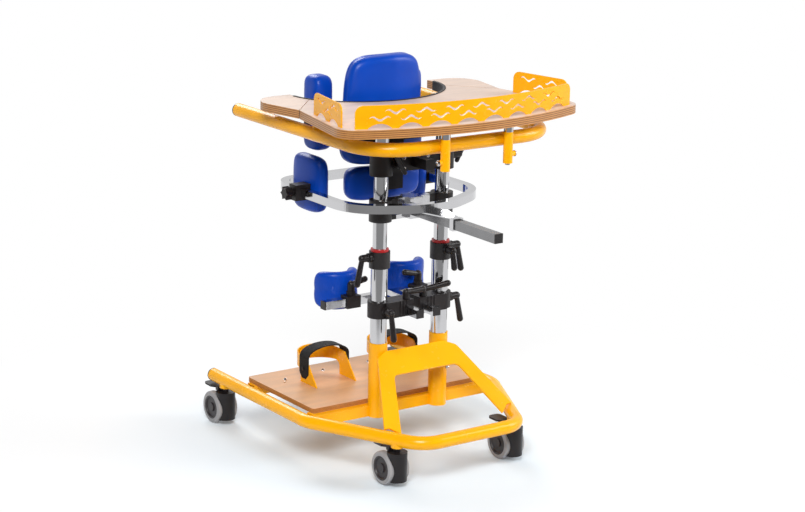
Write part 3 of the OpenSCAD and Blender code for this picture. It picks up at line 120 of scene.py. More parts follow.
class StandCamera(bpy.types.PropertyGroup):
    """Studio camera"""

    azimuth: bpy.props.FloatProperty(
        name="Azimuth", description="Heading from which the camera looks", subtype="ANGLE",
        default=math.radians(-35.331))
    elevation: bpy.props.FloatProperty(
        name="Elevation", description="Height of the camera above the horizon", subtype="ANGLE",
        default=math.radians(14.525))
    roll: bpy.props.FloatProperty(
        name="Roll", description="Tilt of the picture", subtype="ANGLE", default=math.radians(1.134))
    distance: bpy.props.FloatProperty(
        name="Distance", description="Distance from the aimed point", unit="LENGTH", default=5.28)
    aim_side: bpy.props.FloatProperty(
        name="Aim sideways", description="Sideways offset of the aimed point", unit="LENGTH", default=-0.018164)
    aim_height: bpy.props.FloatProperty(
        name="Aim height", description="Height of the aimed point", unit="LENGTH", default=0.480094)
    focal_pixels: bpy.props.FloatProperty(
        name="Focal length in pixels", description="Focal length for a picture 805 pixels wide",
        default=2232.752)


# Node helpers

def feed(tree, value, socket):
    """Link an output to a socket, or set the socket to a plain value"""
    if isinstance(value, bpy.types.NodeSocket):
        tree.links.new(value, socket)
    else:
        socket.default_value = value


def node_adder(tree):
    """A function that adds a node to an emptied tree, sets it up and feeds its inputs"""
    tree.nodes.clear()

    def add(kind, inputs=(), **settings):
        node = tree.nodes.new("ShaderNode" + kind)
        for key, value in settings.items():
            setattr(node, key, value)
        for key, value in dict(inputs).items():
            feed(tree, value, node.inputs[key])
        return node

    return add


def new_finish(name):
    """A material with a Principled shader, a function that adds nodes and one that feeds the shader"""
    material = bpy.data.materials.new(name)
    material.use_nodes = True
    tree = material.node_tree
    add = node_adder(tree)
    shader = add("BsdfPrincipled")
    add("OutputMaterial", {"Surface": shader.outputs["BSDF"]})
    return material, add, lambda socket, value: feed(tree, value, shader.inputs[socket])


def toned(colour, gain):
    return tuple(min(1.0, c * gain) for c in colour)


def rgba(colour, gain=1.0):
    return toned(colour, gain) + (1.0,)


def coords(add, scale=(1.0, 1.0, 1.0)):
    return add("Mapping", {"Vector": add("TexCoord").outputs["Object"], "Scale": scale}).outputs[0]


def noise(add, vector, scale, detail=3.0, rough=0.5):
    inputs = {"Vector": vector, "Scale": scale, "Detail": detail, "Roughness": rough}
    return add("TexNoise", inputs).outputs[0]


def ramp(add, value, low, high, out_low, out_high):
    return add("MapRange", {"Value": value, "From Min": low, "From Max": high, "To Min": out_low,
                            "To Max": out_high}).outputs[0]


def mix(add, factor, a, b):
    return add("Mix", {0: factor, 6: a, 7: b}, data_type="RGBA").outputs[2]


def blend_value(add, factor, a, b):
    """A value that goes from a to b, or the plain number where both are the same"""
    if a == b:
        return a
    return add("Mix", {0: factor, 2: a, 3: b}, data_type="FLOAT").outputs[0]


def bump(add, height, distance, strength):
    return add("Bump", {"Height": height, "Distance": distance, "Strength": strength}).outputs[0]


def math_node(add, operation, a, b=0.0):
    return add("Math", {0: a, 1: b}, operation=operation).outputs[0]


def axis_value(add, axis):
    return add("SeparateXYZ", {0: add("TexCoord").outputs["Object"]}).outputs[axis]


# Finishes

def paint_finish(colour):
    material, add, wire = new_finish("golden_powder_coat")
    here = coords(add)
    cloud = ramp(add, noise(add, here, 9.0, 4.0), 0.3, 0.7, 0.0, 1.0)
    wire("Base Color", mix(add, cloud, rgba(colour, 0.93), rgba(colour, 1.05)))
    wire("Roughness", ramp(add, noise(add, here, 60.0), 0.3, 0.7, 0.20, 0.28))
    peel = noise(add, here, 520.0, 2.0)
    wire("Normal", bump(add, peel, 0.0004, 0.35))
    wire("Specular IOR Level", 0.3)
    return material


def chrome_finish(colour, name="bright_chrome"):
    material, add, wire = new_finish(name)
    here = coords(add)
    wire("Base Color", mix(add, noise(add, here, 14.0), rgba(colour, 0.94), rgba(colour, 1.03)))
    wire("Metallic", 1.0)
    wire("Roughness", ramp(add, noise(add, here, 90.0, 4.0), 0.3, 0.7, 0.05, 0.12))
    fine = noise(add, coords(add, (60.0, 60.0, 900.0)), 6.0, 2.0)
    wire("Normal", bump(add, fine, 0.00004, 0.25))
    return material


def plastic_finish(colour, name="black_moulding", grain=900.0, rough=(0.38, 0.52)):
    material, add, wire = new_finish(name)
    here = coords(add)
    wire("Base Color", mix(add, noise(add, here, 30.0, 4.0), rgba(colour, 0.8), rgba(colour, 1.5)))
    wire("Roughness", ramp(add, noise(add, here, 120.0), 0.3, 0.7, *rough))
    wire("Normal", bump(add, noise(add, here, grain, 2.0), 0.0003, 0.4))
    wire("Specular IOR Level", 0.35)
    return material


def masked_finish(name, colours, mask, metal, rough):
    """Two finishes on one piece: the second where the mask, a function of add, says 1"""
    material, add, wire = new_finish(name)
    factor = mask(add)
    here = coords(add)
    cloud = noise(add, here, 30.0, 4.0)
    first, second = (mix(add, cloud, rgba(colour, 0.85), rgba(colour, 1.15)) for colour in colours)
    wire("Base Color", mix(add, factor, first, second))
    wire("Metallic", blend_value(add, factor, *metal))
    fleck = ramp(add, noise(add, here, 110.0), 0.3, 0.7, -0.04, 0.04)
    wire("Roughness", math_node(add, "ADD", blend_value(add, factor, *rough), fleck))
    wire("Normal", bump(add, noise(add, here, 700.0, 2.0), 0.0002, 0.3))
    return material


def wood_finish(colour, node):
    """Beech veneer with fine pores on the faces and stripes of layers on the edges"""
    low, high = (corner[2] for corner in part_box(node))
    material, add, wire = new_finish("beech_ply_%d" % round(high * 1000))
    figure = noise(add, coords(add, (2.2, 16.0, 8.0)), 3.0, 6.0, 0.6)
    fleck = noise(add, coords(add, (70.0, 620.0, 300.0)), 1.0, 2.0)
    face = mix(add, ramp(add, figure, 0.3, 0.7, 0.0, 1.0), rgba(colour, 0.88), rgba(colour, 1.08))
    face = mix(add, ramp(add, fleck, 0.58, 0.74, 0.0, 0.4), face, rgba((0.42, 0.24, 0.13)))
    layer = math_node(add, "MULTIPLY", math_node(add, "SUBTRACT", axis_value(add, 2), low), 1.0 / (high - low))
    wave = math_node(add, "FRACT", math_node(add, "MULTIPLY", layer, 4.5))
    dark = math_node(add, "GREATER_THAN", wave, 0.62)
    wobble = noise(add, coords(add, (24.0, 24.0, 24.0)), 3.0)
    pale = mix(add, wobble, rgba((0.50, 0.225, 0.065)), rgba((0.58, 0.28, 0.088)))
    deep = mix(add, wobble, rgba((0.17, 0.058, 0.015)), rgba((0.23, 0.085, 0.024)))
    edge = mix(add, dark, pale, deep)
    up = add("SeparateXYZ", {0: add("NewGeometry").outputs["Normal"]}).outputs[2]
    flat = math_node(add, "GREATER_THAN", math_node(add, "ABSOLUTE", up), 0.6)
    wire("Base Color", mix(add, flat, edge, face))
    wire("Roughness", ramp(add, figure, 0.3, 0.7, 0.34, 0.46))
    wire("Normal", bump(add, fleck, 0.0002, 0.3))
    wire("Coat Weight", 0.12)
    wire("Coat Roughness", 0.25)
    return material


def wheel_finish(corner, hub_radius, plastic, tyre):
    """Dark hub inside a grey tyre, told apart by the distance from the axle"""
    low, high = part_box("caster_wheels_" + corner)
    centre = tuple((Vector(low) + Vector(high)) / 2)

    def outside(add):
        place = add("TexCoord").outputs["Object"]
        turned = add("VectorMath", {0: place, 1: centre}, operation="SUBTRACT").outputs[0]
        flat = add("VectorMath", {0: turned, 1: (0.0, 1.0, 1.0)}, operation="MULTIPLY").outputs[0]
        radius = add("VectorMath", {0: flat}, operation="LENGTH").outputs[1]
        return math_node(add, "GREATER_THAN", radius, hub_radius)

    return masked_finish("wheel_" + corner, (plastic, tyre), outside, (0.0, 0.0), (0.42, 0.62))


def vinyl_finish(colour):
    material, add, wire = new_finish("royal_blue_vinyl")
    here = coords(add)
    cloud = ramp(add, noise(add, here, 11.0), 0.3, 0.7, 0.0, 1.0)
    wire("Base Color", mix(add, cloud, rgba(colour, 0.92), rgba(colour, 1.08)))
    wire("Roughness", ramp(add, noise(add, here, 70.0), 0.3, 0.7, 0.30, 0.38))
    grain = add("TexVoronoi", {"Vector": here, "Scale": 620.0}, feature="SMOOTH_F1").outputs["Distance"]
    wire("Normal", bump(add, grain, 0.0003, 0.18))
    wire("Specular IOR Level", 0.22)
    return material


def webbing_finish():
    material, add, wire = new_finish("black_webbing")
    along, over = (
        add("TexWave", {"Vector": coords(add, (pitch, pitch, pitch)), "Scale": 1.0}, wave_type="BANDS",
            bands_direction=direction).outputs["Fac"]
        for pitch, direction in ((900.0, "Y"), (700.0, "X")))
    weave = math_node(add, "MULTIPLY", along, over)
    wire("Base Color", mix(add, weave, rgba((0.004, 0.004, 0.0045)), rgba((0.014, 0.0135, 0.0145))))
    wire("Roughness", 0.78)
    wire("Normal", bump(add, weave, 0.0006, 0.6))
    wire("Sheen Weight", 0.06)
    wire("Specular IOR Level", 0.2)
    return material


def dress(node, material):
    mesh = NODES[node].data
    mesh.materials.clear()
    mesh.materials.append(material)
    for face in mesh.polygons:
        face.material_index = 0


class STAND_OT_finishes(bpy.types.Operator):
    """Give every CAD piece that stays in view its finish"""

    bl_idname = "stand.finishes"
    bl_label = "Finish the frame"

    PAINTED = ("base_tube", "post_carrier", "rear_crossbar", "brace_plate", "foot_sandals", "table_frame",
               "table_fence")
    CHROMED = ("lower_posts", "upper_posts", "table_fittings", "hip_ring")
    MOULDED = ("base_fittings", "post_heads", "frame_end_plugs", "hip_clamps", "knee_block_left",
               "knee_block_right", "knee_bracket_left", "knee_bracket_right", "pad_carrier")
    GRIPS = LEVERS + ("tee_handle_left", "tee_handle_right", "hip_knob_left", "hip_knob_right")
    # Radius at which a caster's hub meets its tyre
    HUB_RADIUS = 0.0291
    # Depth of the plastic caps on the ends of the square bars
    CAP_DEPTH = 0.003
    # Distance from the middle past which the hip carrier is moulded plastic
    SLEEVE_X = 0.046
    # Height above the lower posts at which a collar's seal ring starts
    SEAL_LIFT = 0.0001

    def execute(self, context):
        tone = context.scene.stand_finishes
        grip = plastic_finish(tone.plastic, "black_grip", 1400.0, (0.30, 0.40))
        for material, nodes in (
                (paint_finish(tone.paint), self.PAINTED), (chrome_finish(tone.chrome), self.CHROMED),
                (plastic_finish(tone.plastic), self.MOULDED), (grip, self.GRIPS)):
            for node in nodes:
                dress(node, material)
        for corner in CORNERS:
            dress("caster_hood_" + corner, grip)
            dress("brake_pedal_" + corner, grip)
            hub = toned(tone.plastic, 2.6)
            dress("caster_wheels_" + corner, wheel_finish(corner, self.HUB_RADIUS, hub, tone.tyre))
        dress("table_panels", wood_finish(tone.wood, "table_panels"))
        dress("footboard", wood_finish(tone.board, "footboard"))
        self.two_toned(tone)
        return {"FINISHED"}

    def two_toned(self, tone):
        """The pieces of two finishes: collars with their seals, capped bars and the hip carrier"""
        seal_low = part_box("lower_posts")[1][2] + self.SEAL_LIFT
        hip_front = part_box("hip_bar")[0][1] + self.CAP_DEPTH
        knee_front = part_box("knee_bar_left")[0][1] + self.CAP_DEPTH
        knee_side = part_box("knee_bar_right")[1][0] - self.CAP_DEPTH

        def seals(add):
            return math_node(add, "GREATER_THAN", axis_value(add, 2), seal_low)

        def hip_cap(add):
            return math_node(add, "LESS_THAN", axis_value(add, 1), hip_front)

        def knee_caps(add):
            side = math_node(add, "GREATER_THAN", math_node(add, "ABSOLUTE", axis_value(add, 0)), knee_side)
            return math_node(add, "MAXIMUM", side, math_node(add, "LESS_THAN", axis_value(add, 1), knee_front))

        def sleeves(add):
            return math_node(add, "GREATER_THAN", math_node(add, "ABSOLUTE", axis_value(add, 0)), self.SLEEVE_X)

        plated = (tone.chrome, tone.plastic)
        metal = (1.0, 0.0)
        dress("post_collars", masked_finish(
            "collar_and_seal", (tone.plastic, tone.seal), seals, (0.0, 0.0), (0.45, 0.35)))
        # The hip bar's chrome is dimmed to 0.42 of its tone: a painted dim reflection, standing in for the dark
        # studio that the bar reflects
        dress("hip_bar", masked_finish(
            "hip_bar_painted_dim_chrome", (toned(tone.chrome, 0.42), tone.plastic), hip_cap, metal, (0.2, 0.45)))
        for node in ("knee_bar_left", "knee_bar_right"):
            dress(node, masked_finish(node + "_chrome", plated, knee_caps, metal, (0.09, 0.45)))
        dress("hip_carrier", masked_finish("hip_carrier_finish", plated, sleeves, metal, (0.12, 0.45)))


# Piece helpers

def add_piece(name, shape, body, material, smooth=True):
    """A finished piece from a bmesh, riding on a CAD body"""
    bmesh.ops.recalc_face_normals(shape, faces=shape.faces)
    mesh = bpy.data.meshes.new(name)
    shape.to_mesh(mesh)
    shape.free()
    for face in mesh.polygons:
        face.use_smooth = smooth
    thing = bpy.data.objects.new(name, mesh)
    bpy.context.scene.collection.objects.link(thing)
    mesh.materials.append(material)
    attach(thing, body)
    return thing


def finish_with(thing, kind, **settings):
    modifier = thing.modifiers.new(kind.lower(), kind)
    for key, value in settings.items():
        setattr(modifier, key, value)
    return modifier


def drawn_on(shape, row):
    """The next row of a strip: the new edges and their points, still in the old place"""
    grown = bmesh.ops.extrude_edge_only(shape, edges=row)["geom"]
    edges = [e for e in grown if isinstance(e, bmesh.types.BMEdge)]
    points = [v for v in grown if isinstance(v, bmesh.types.BMVert)]
    return edges, points


# Upholstery

# A pressed seam or a raised ridge: the axis that it crosses, and its level as a share of the half size
Mark = namedtuple("Mark", "kind axis level depth width")
# A pad's size runs along its width axis, upwards and along its hollow axis
Pad = namedtuple("Pad", "name node body middle width_axis hollow_axis size radius taper edge marks")
KNEE_SEAM = (Mark("groove", 1, 0.0, 0.0016, 0.0026),)
PADS = (
    Pad("chest_cushion", "chest_pad", "chest_unit", (0.0, 0.0528, 0.815), (-1, 0, 0), (0, 1, 0),
        (0.220, 0.262, 0.052), 0.330, -0.1, 0.015, (Mark("ridge", 0, -0.12, 0.0018, 0.050),)),
    Pad("pelvis_cushion", "pelvis_pad", "chest_unit", (0.0, 0.0518, 0.640), (-1, 0, 0), (0, 1, 0),
        (0.200, 0.082, 0.050), 0.260, 0.0, 0.013,
        (Mark("groove", 0, -0.42, 0.0024, 0.004), Mark("groove", 0, 0.42, 0.0024, 0.004))),
    Pad("side_cushion_left", "side_pads", "chest_unit", (-0.128, 0.143, 0.804), (0, 1, 0), (1, 0, 0),
        (0.064, 0.180, 0.054), 0.400, 0.0, 0.012, ()),
    Pad("side_cushion_right", "side_pads", "chest_unit", (0.128, 0.143, 0.804), (0, -1, 0), (-1, 0, 0),
        (0.064, 0.180, 0.054), 0.400, 0.0, 0.012, ()),
    Pad("hip_cushion_left", "hip_pad_left", "hip_slider", (-0.1454, 0.150, 0.634), (0, 1, 0), (1, 0, 0),
        (0.116, 0.138, 0.040), 0.300, 0.0, 0.011, ()),
    Pad("hip_cushion_right", "hip_pad_right", "hip_slider", (0.1454, 0.150, 0.634), (0, -1, 0), (-1, 0, 0),
        (0.116, 0.138, 0.040), 0.300, 0.0, 0.011, ()),
    Pad("knee_cushion_left", "knee_pad_left", "knee_cup_left", (-0.098, 0.0666, 0.380), (-1, 0, 0), (0, 1, 0),
        (0.150, 0.092, 0.027), 0.043, 0.0, 0.007, KNEE_SEAM),
    Pad("knee_cushion_right", "knee_pad_right", "knee_cup_right", (0.098, 0.0666, 0.380), (-1, 0, 0), (0, 1, 0),
        (0.150, 0.092, 0.027), 0.043, 0.0, 0.007, KNEE_SEAM),
)
# Squareness of the pads' outlines
OUTLINE_POWER = 5.0
# How much closer together the cover's rows are at the rim than in the middle
RIM_POWER = 1.5
# Distance between the cover's rows
ROW_PITCH = 0.009
# A cover is cut thinner than its pad and a little larger round the rim, which the stuffing draws in
SLACK = 0.0030
RIM_ROOM = 0.0028
# Frames in which the stuffing settles
SETTLE_FRAMES = 20
# A finished cover's spare height over its pad, which the last rounding takes up
EASE = 0.0004
# Reach of the pad's middle, which rests on its board
CORE = 0.020


def unrolled(point, radius):
    """Local place of a point on a bent pad, as it lay before the bend"""
    quarter = radius * math.pi / 2
    if point.z > radius:
        length = quarter + point.z - radius
        return Vector((math.copysign(length, point.x), point.y, radius - abs(point.x)))
    angle = math.atan2(point.x, radius - point.z)
    return Vector((angle * radius, point.y, radius - math.hypot(point.x, radius - point.z)))


def rolled(point, radius):
    """The bend: round its middle up to a quarter turn, and straight beyond"""
    quarter = radius * math.pi / 2
    length = abs(point.x)
    angle = min(length, quarter) / radius
    beyond = max(0.0, length - quarter)
    return Vector((math.copysign((radius - point.z) * math.sin(angle), point.x), point.y,
                   radius - (radius - point.z) * math.cos(angle) + beyond))


class STAND_OT_upholstery(bpy.types.Operator):
    """Stuff the chest, pelvis, side, hip and knee pads"""

    bl_idname = "stand.upholstery"
    bl_label = "Upholster the pads"

    def execute(self, context):
        vinyl = vinyl_finish(context.scene.stand_finishes.vinyl)
        made = []
        for pad in PADS:
            axes = Matrix((Vector(pad.width_axis), Vector((0, 0, 1)), Vector(pad.hollow_axis)))
            cushion = self.cut(context, pad, axes)
            self.inflate(context, cushion)
            self.mould(cushion, pad, axes)
            finish_with(cushion, "SUBSURF", levels=1, render_levels=1)
            cushion.data.materials.append(vinyl)
            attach(cushion, pad.body)
            made.append((cushion, pad.node))
        for cushion, node in made:
            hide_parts(node)
        return {"FINISHED"}

    def cut(self, context, pad, axes):
        """The cover as sewn: a slab with rounded edges and a squared outline, bent to its curve"""
        size, middle = pad.size, Vector(pad.middle)
        half = [size[0] / 2 + RIM_ROOM, size[1] / 2 + RIM_ROOM, size[2] / 2 - SLACK]
        across, up = (2 * max(5, round(extent / 2 / ROW_PITCH)) for extent in size[:2])
        shape = bmesh.new()
        bmesh.ops.create_grid(shape, x_segments=across, y_segments=up, size=1.0)
        grown = bmesh.ops.extrude_face_region(shape, geom=shape.faces[:], use_keep_orig=True)["geom"]
        lifted = [v for v in grown if isinstance(v, bmesh.types.BMVert)]
        bmesh.ops.translate(shape, verts=shape.verts, vec=(0, 0, -1))
        bmesh.ops.translate(shape, verts=lifted, vec=(0, 0, 2))
        walls = [e for e in shape.edges if abs(e.verts[0].co.z - e.verts[1].co.z) > 1.0]
        bmesh.ops.subdivide_edges(shape, edges=walls, cuts=3, use_grid_fill=True)
        back = axes.transposed()
        for vert in shape.verts:
            flat = self.slab_point(vert.co, half, pad.taper, pad.edge)
            vert.co = back @ rolled(flat, pad.radius) + middle
        bmesh.ops.recalc_face_normals(shape, faces=shape.faces)
        mesh = bpy.data.meshes.new(pad.name)
        shape.to_mesh(mesh)
        shape.free()
        cushion = bpy.data.objects.new(pad.name, mesh)
        context.scene.collection.objects.link(cushion)
        return cushion

    @staticmethod
    def slab_point(spot, half, taper, edge):
        """Place on the slab of a point of the plain square block from which it is made"""
        reach = max(abs(spot.x), abs(spot.y))
        if reach < 1e-6:
            return Vector((0.0, 0.0, spot.z * half[2]))
        across, up = spot.x / reach, spot.y / reach
        share_x, share_y = abs(across) ** OUTLINE_POWER, abs(up) ** OUTLINE_POWER
        left = (1.0 - reach) ** RIM_POWER
        rim = (1.0 - left) / (share_x + share_y) ** (1 / OUTLINE_POWER)
        inward = left * (half[0] * share_x + half[1] * share_y) / (share_x + share_y)
        drop = edge
        if inward > 0.0:
            drop = edge - math.sqrt(max(0.0, edge ** 2 - max(0.0, edge - inward) ** 2))
        height = up * rim
        return Vector((half[0] * across * rim * (1.0 + taper * height), half[1] * height,
                       spot.z * (half[2] - drop)))

    @staticmethod
    def inflate(context, cushion):
        """Let the stuffing push the cover out, up to the swell that is allowed"""
        sizes = context.scene.stand_sizes
        start = [v.co.copy() for v in cushion.data.vertices]
        cloth = finish_with(cushion, "CLOTH").settings
        cloth.use_pressure = True
        cloth.uniform_pressure_force = sizes.pressure
        cloth.effector_weights.gravity = 0.0
        cloth.quality = 4
        for step in range(1, SETTLE_FRAMES + 1):
            context.scene.frame_set(step)
        seen = cushion.evaluated_get(context.evaluated_depsgraph_get())
        swollen = [v.co.copy() for v in seen.data.vertices]
        cushion.modifiers.clear()
        context.scene.frame_set(1)
        for vert, was, now in zip(cushion.data.vertices, start, swollen):
            move = now - was
            if move.length > sizes.swell:
                move *= sizes.swell / move.length
            vert.co = was + move

    @staticmethod
    def mould(cushion, pad, axes):
        """Ease the cover, flatten it on its board, then press in the seams and raise the ridges"""
        size, radius, middle = pad.size, pad.radius, Vector(pad.middle)
        shape = bmesh.new()
        shape.from_mesh(cushion.data)
        bmesh.ops.smooth_vert(shape, verts=shape.verts, factor=0.5, use_axis_x=True, use_axis_y=True,
                              use_axis_z=True)
        back = axes.transposed()
        laid = [unrolled(axes @ (vert.co - middle), radius) for vert in shape.verts]
        tall = (size[1] / 2 + EASE) / max(abs(flat.y) for flat in laid)
        rest = min(-flat.z for flat in laid if flat.z < 0.0 and flat.xy.length < CORE)
        deep = (size[2] / 2 + EASE) / rest
        for vert, flat in zip(shape.verts, laid):
            flat.y *= tall
            if flat.z < 0.0:
                flat.z = max(deep * flat.z, -size[2] / 2)
            vert.co = back @ rolled(flat, radius) + middle
        shape.normal_update()
        for vert in shape.verts:
            flat = unrolled(axes @ (vert.co - middle), radius)
            press = 0.0
            for mark in pad.marks:
                off = flat[mark.axis] - mark.level * size[mark.axis] / 2
                if mark.kind == "groove":
                    press += mark.depth * math.exp(-(off / mark.width) ** 2)
                elif flat.z < 0.0:
                    press += mark.depth * min(1.0, abs(off) / mark.width)
            vert.co -= vert.normal * press
        shape.to_mesh(cushion.data)
        shape.free()
        for face in cushion.data.polygons:
            face.use_smooth = True


# Straps, trim and fasteners

class STAND_OT_straps(bpy.types.Operator):
    """Lay the webbing straps over the sandals"""

    bl_idname = "stand.straps"
    bl_label = "Lay the instep straps"

    # Distance of a sandal's middle from the frame's middle, and half the width of its arch
    SANDAL_X = 0.103
    HALF = 0.0584
    # Heights above the footboard: the strap's ends, its free tail, the foot and the top of the arch
    LOW = 0.024
    TAIL_LOW = 0.011
    SPRING = 0.062
    CROWN = 0.0895
    # Roundness of the arch, and the tail's width as a share of the strap's
    ROUND_POWER = 0.85
    TAIL_SHARE = 0.4
    STEPS = 28
    # Places of the woven ribs as shares of the half width
    RIB_SHARES = (-1.0, -0.86, 0.0, 0.86, 1.0)
    EDGE_ROUND = 0.0007

    def execute(self, context):
        webbing = webbing_finish()
        low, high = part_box("foot_straps")
        foot = Vector((0.0, (low[1] + high[1]) / 2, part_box("footboard")[1][2]))
        sizes = context.scene.stand_sizes
        made = [self.strap(name, side, foot, sizes, webbing)
                for side, name in ((-1, "instep_strap_left"), (1, "instep_strap_right"))]
        for strap in made:
            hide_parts("foot_straps")
        return {"FINISHED"}

    def arch(self, share):
        """Place over the arch, from the inner foot of the strap to the outer one"""
        angle = math.pi * share
        return (-self.HALF * math.cos(angle),
                self.SPRING + (self.CROWN - self.SPRING) * math.sin(angle) ** self.ROUND_POWER)

    def strap(self, name, side, foot, sizes, webbing):
        knee = (self.LOW + self.SPRING) / 2
        route = [(-self.HALF, self.LOW), (-self.HALF, knee)]
        route += [self.arch(k / self.STEPS) for k in range(self.STEPS + 1)]
        route += [(self.HALF, knee), (self.HALF, self.LOW), (self.HALF, self.TAIL_LOW)]
        at = route[0]
        shape = bmesh.new()
        start, half_width = side * (self.SANDAL_X + at[0]), sizes.strap_width / 2
        first = [shape.verts.new((start, foot.y + rib * half_width, foot.z + at[1])) for rib in self.RIB_SHARES]
        row = [shape.edges.new(pair) for pair in zip(first, first[1:])]
        for spot in route[1:]:
            row, moved = drawn_on(shape, row)
            bmesh.ops.translate(shape, verts=moved, vec=(side * (spot[0] - at[0]), 0.0, spot[1] - at[1]))
            at = spot
        bmesh.ops.scale(shape, verts=moved, vec=(1.0, self.TAIL_SHARE, 1.0),
                        space=Matrix.Translation((0.0, -foot.y, 0.0)))
        strap = add_piece(name, shape, "base", webbing)
        finish_with(strap, "SOLIDIFY", thickness=sizes.strap_thickness, offset=0.0)
        finish_with(strap, "BEVEL", width=self.EDGE_ROUND, segments=2, limit_method="ANGLE")
        return strap


class STAND_OT_trim(bpy.types.Operator):
    """Edge the table's cut-out with a black rubber channel"""

    bl_idname = "stand.trim"
    bl_label = "Edge the cut-out"

    # Half width, depth and middle of the cut-out's front half
    RX, RY = 0.200, 0.165
    CENTRE_Y = 0.135
    STEPS = 72
    # Distance of the channel's middle layer from the wood as a share of its wall
    STAND_OFF_SHARE = 0.6
    EDGE_ROUND = 0.0006

    def execute(self, context):
        sizes = context.scene.stand_sizes
        plastic = context.scene.stand_finishes.plastic
        rubber = plastic_finish(plastic, "edge_rubber", 1100.0, (0.5, 0.62))
        low, high = (corner[2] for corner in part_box("table_panels"))
        lip = sizes.edging_lip
        away = sizes.edging_thickness * self.STAND_OFF_SHARE
        profile = [(lip, high + away), (-away, high + away), (-away, low - away), (lip, low - away)]
        before = self.frame_at(0.0)
        shape = bmesh.new()
        dots = [shape.verts.new(before @ Vector((out, 0.0, z))) for out, z in profile]
        row = [shape.edges.new(pair) for pair in zip(dots, dots[1:])]
        for k in range(1, self.STEPS + 1):
            here = self.frame_at(k / self.STEPS)
            row, moved = drawn_on(shape, row)
            bmesh.ops.transform(shape, matrix=here @ before.inverted(), verts=moved)
            before = here
        trim = add_piece("cutout_edging", shape, "table", rubber)
        finish_with(trim, "SOLIDIFY", thickness=sizes.edging_thickness, offset=0.0)
        finish_with(trim, "BEVEL", width=self.EDGE_ROUND, segments=2, limit_method="ANGLE")
        return {"FINISHED"}

    def frame_at(self, share):
        """Place on the cut-out's edge, its X axis pointing into the table"""
        angle = math.pi * (1.0 + share)
        spot = Vector((self.RX * math.cos(angle), self.CENTRE_Y + self.RY * math.sin(angle), 0.0))
        out = Vector((math.cos(angle) / self.RX, math.sin(angle) / self.RY, 0.0)).normalized()
        along = Vector((-out.y, out.x, 0.0))
        turned = Matrix((out, along, Vector((0, 0, 1)))).transposed().to_4x4()
        return Matrix.Translation(spot) @ turned


class STAND_OT_fasteners(bpy.types.Operator):
    """Set the screws"""

    bl_idname = "stand.fasteners"
    bl_label = "Set the fasteners"

    # Widths of the heads
    BEAM_HEAD, GUIDE_HEAD, BOARD_HEAD, SOCKET_HEAD = 0.0075, 0.010, 0.007, 0.011
    # Beam between the post heads: the pairs' places, their middle height above its foot, and its front side
    BEAM_X = (-0.0345, 0.0345)
    BEAM_LIFTS = (-0.013, 0.013)
    BEAM_RISE = 0.025
    BEAM_FRONT = POST_Y - 0.016
    # Rod guides: outer sides, and the screw's place from the guides' lowest front corner
    GUIDE_X = 0.106
    GUIDE_IN, GUIDE_UP = 0.011, 0.024
    # Footboard, beside the sandals
    BOARD_SPOTS = ((-0.188, 0.187), (0.188, 0.187), (-0.068, 0.202), (0.068, 0.202))
    # Right post's socket: axis, height, radius and the way that its screw faces
    SOCKET_AXIS = Vector((0.088, POST_Y, 0.1976))
    SOCKET_RADIUS = 0.0225
    SOCKET_FACING = Vector((0.64, -0.77, 0.0)).normalized()

    def execute(self, context):
        steel = chrome_finish(toned(context.scene.stand_finishes.chrome, 0.9), "screw_steel")
        beam_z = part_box("post_heads")[0][2] + self.BEAM_RISE
        for k, x in enumerate(self.BEAM_X):
            for j, lift in enumerate(self.BEAM_LIFTS):
                self.screw("beam_screw_%d%d" % (k, j), (x, self.BEAM_FRONT, beam_z + lift), (0, -1, 0),
                           self.BEAM_HEAD, "column", steel)
        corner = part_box("table_fittings")[0]
        for name, side in (("guide_screw_left", -1), ("guide_screw_right", 1)):
            self.screw(name, (side * self.GUIDE_X, corner[1] + self.GUIDE_IN, corner[2] + self.GUIDE_UP),
                       (side, 0, 0), self.GUIDE_HEAD, "column", steel)
        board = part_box("footboard")[1][2]
        for k, (x, y) in enumerate(self.BOARD_SPOTS):
            self.screw("board_screw_%d" % k, (x, y, board), (0, 0, 1), self.BOARD_HEAD, "base", steel)
        seat = self.SOCKET_AXIS + self.SOCKET_FACING * self.SOCKET_RADIUS
        self.screw("socket_screw", seat, self.SOCKET_FACING, self.SOCKET_HEAD, "base", steel)
        return {"FINISHED"}

    @staticmethod
    def screw(name, spot, axis, width, body, steel):
        """A domed socket head on its washer"""
        shape = bmesh.new()
        bmesh.ops.create_cone(shape, cap_ends=True, segments=24, radius1=width * 0.72, radius2=width * 0.72,
                              depth=width * 0.12, matrix=Matrix.Translation((0, 0, width * 0.06)))
        head = bmesh.ops.create_cone(shape, cap_ends=True, segments=24, radius1=width * 0.5,
                                     radius2=width * 0.42, depth=width * 0.42,
                                     matrix=Matrix.Translation((0, 0, width * 0.33)))
        top = max((f for v in head["verts"] for f in v.link_faces), key=lambda f: f.calc_center_median().z)
        bmesh.ops.inset_individual(shape, faces=[top], thickness=width * 0.2, depth=0.0)
        bmesh.ops.translate(shape, verts=top.verts, vec=(0, 0, -width * 0.22))
        turned = Vector((0, 0, 1)).rotation_difference(Vector(axis)).to_matrix().to_4x4()
        bmesh.ops.transform(shape, matrix=Matrix.Translation(spot) @ turned, verts=shape.verts)
        screw = add_piece(name, shape, body, steel, smooth=False)
        finish_with(screw, "BEVEL", width=width * 0.05, segments=2, limit_method="ANGLE")


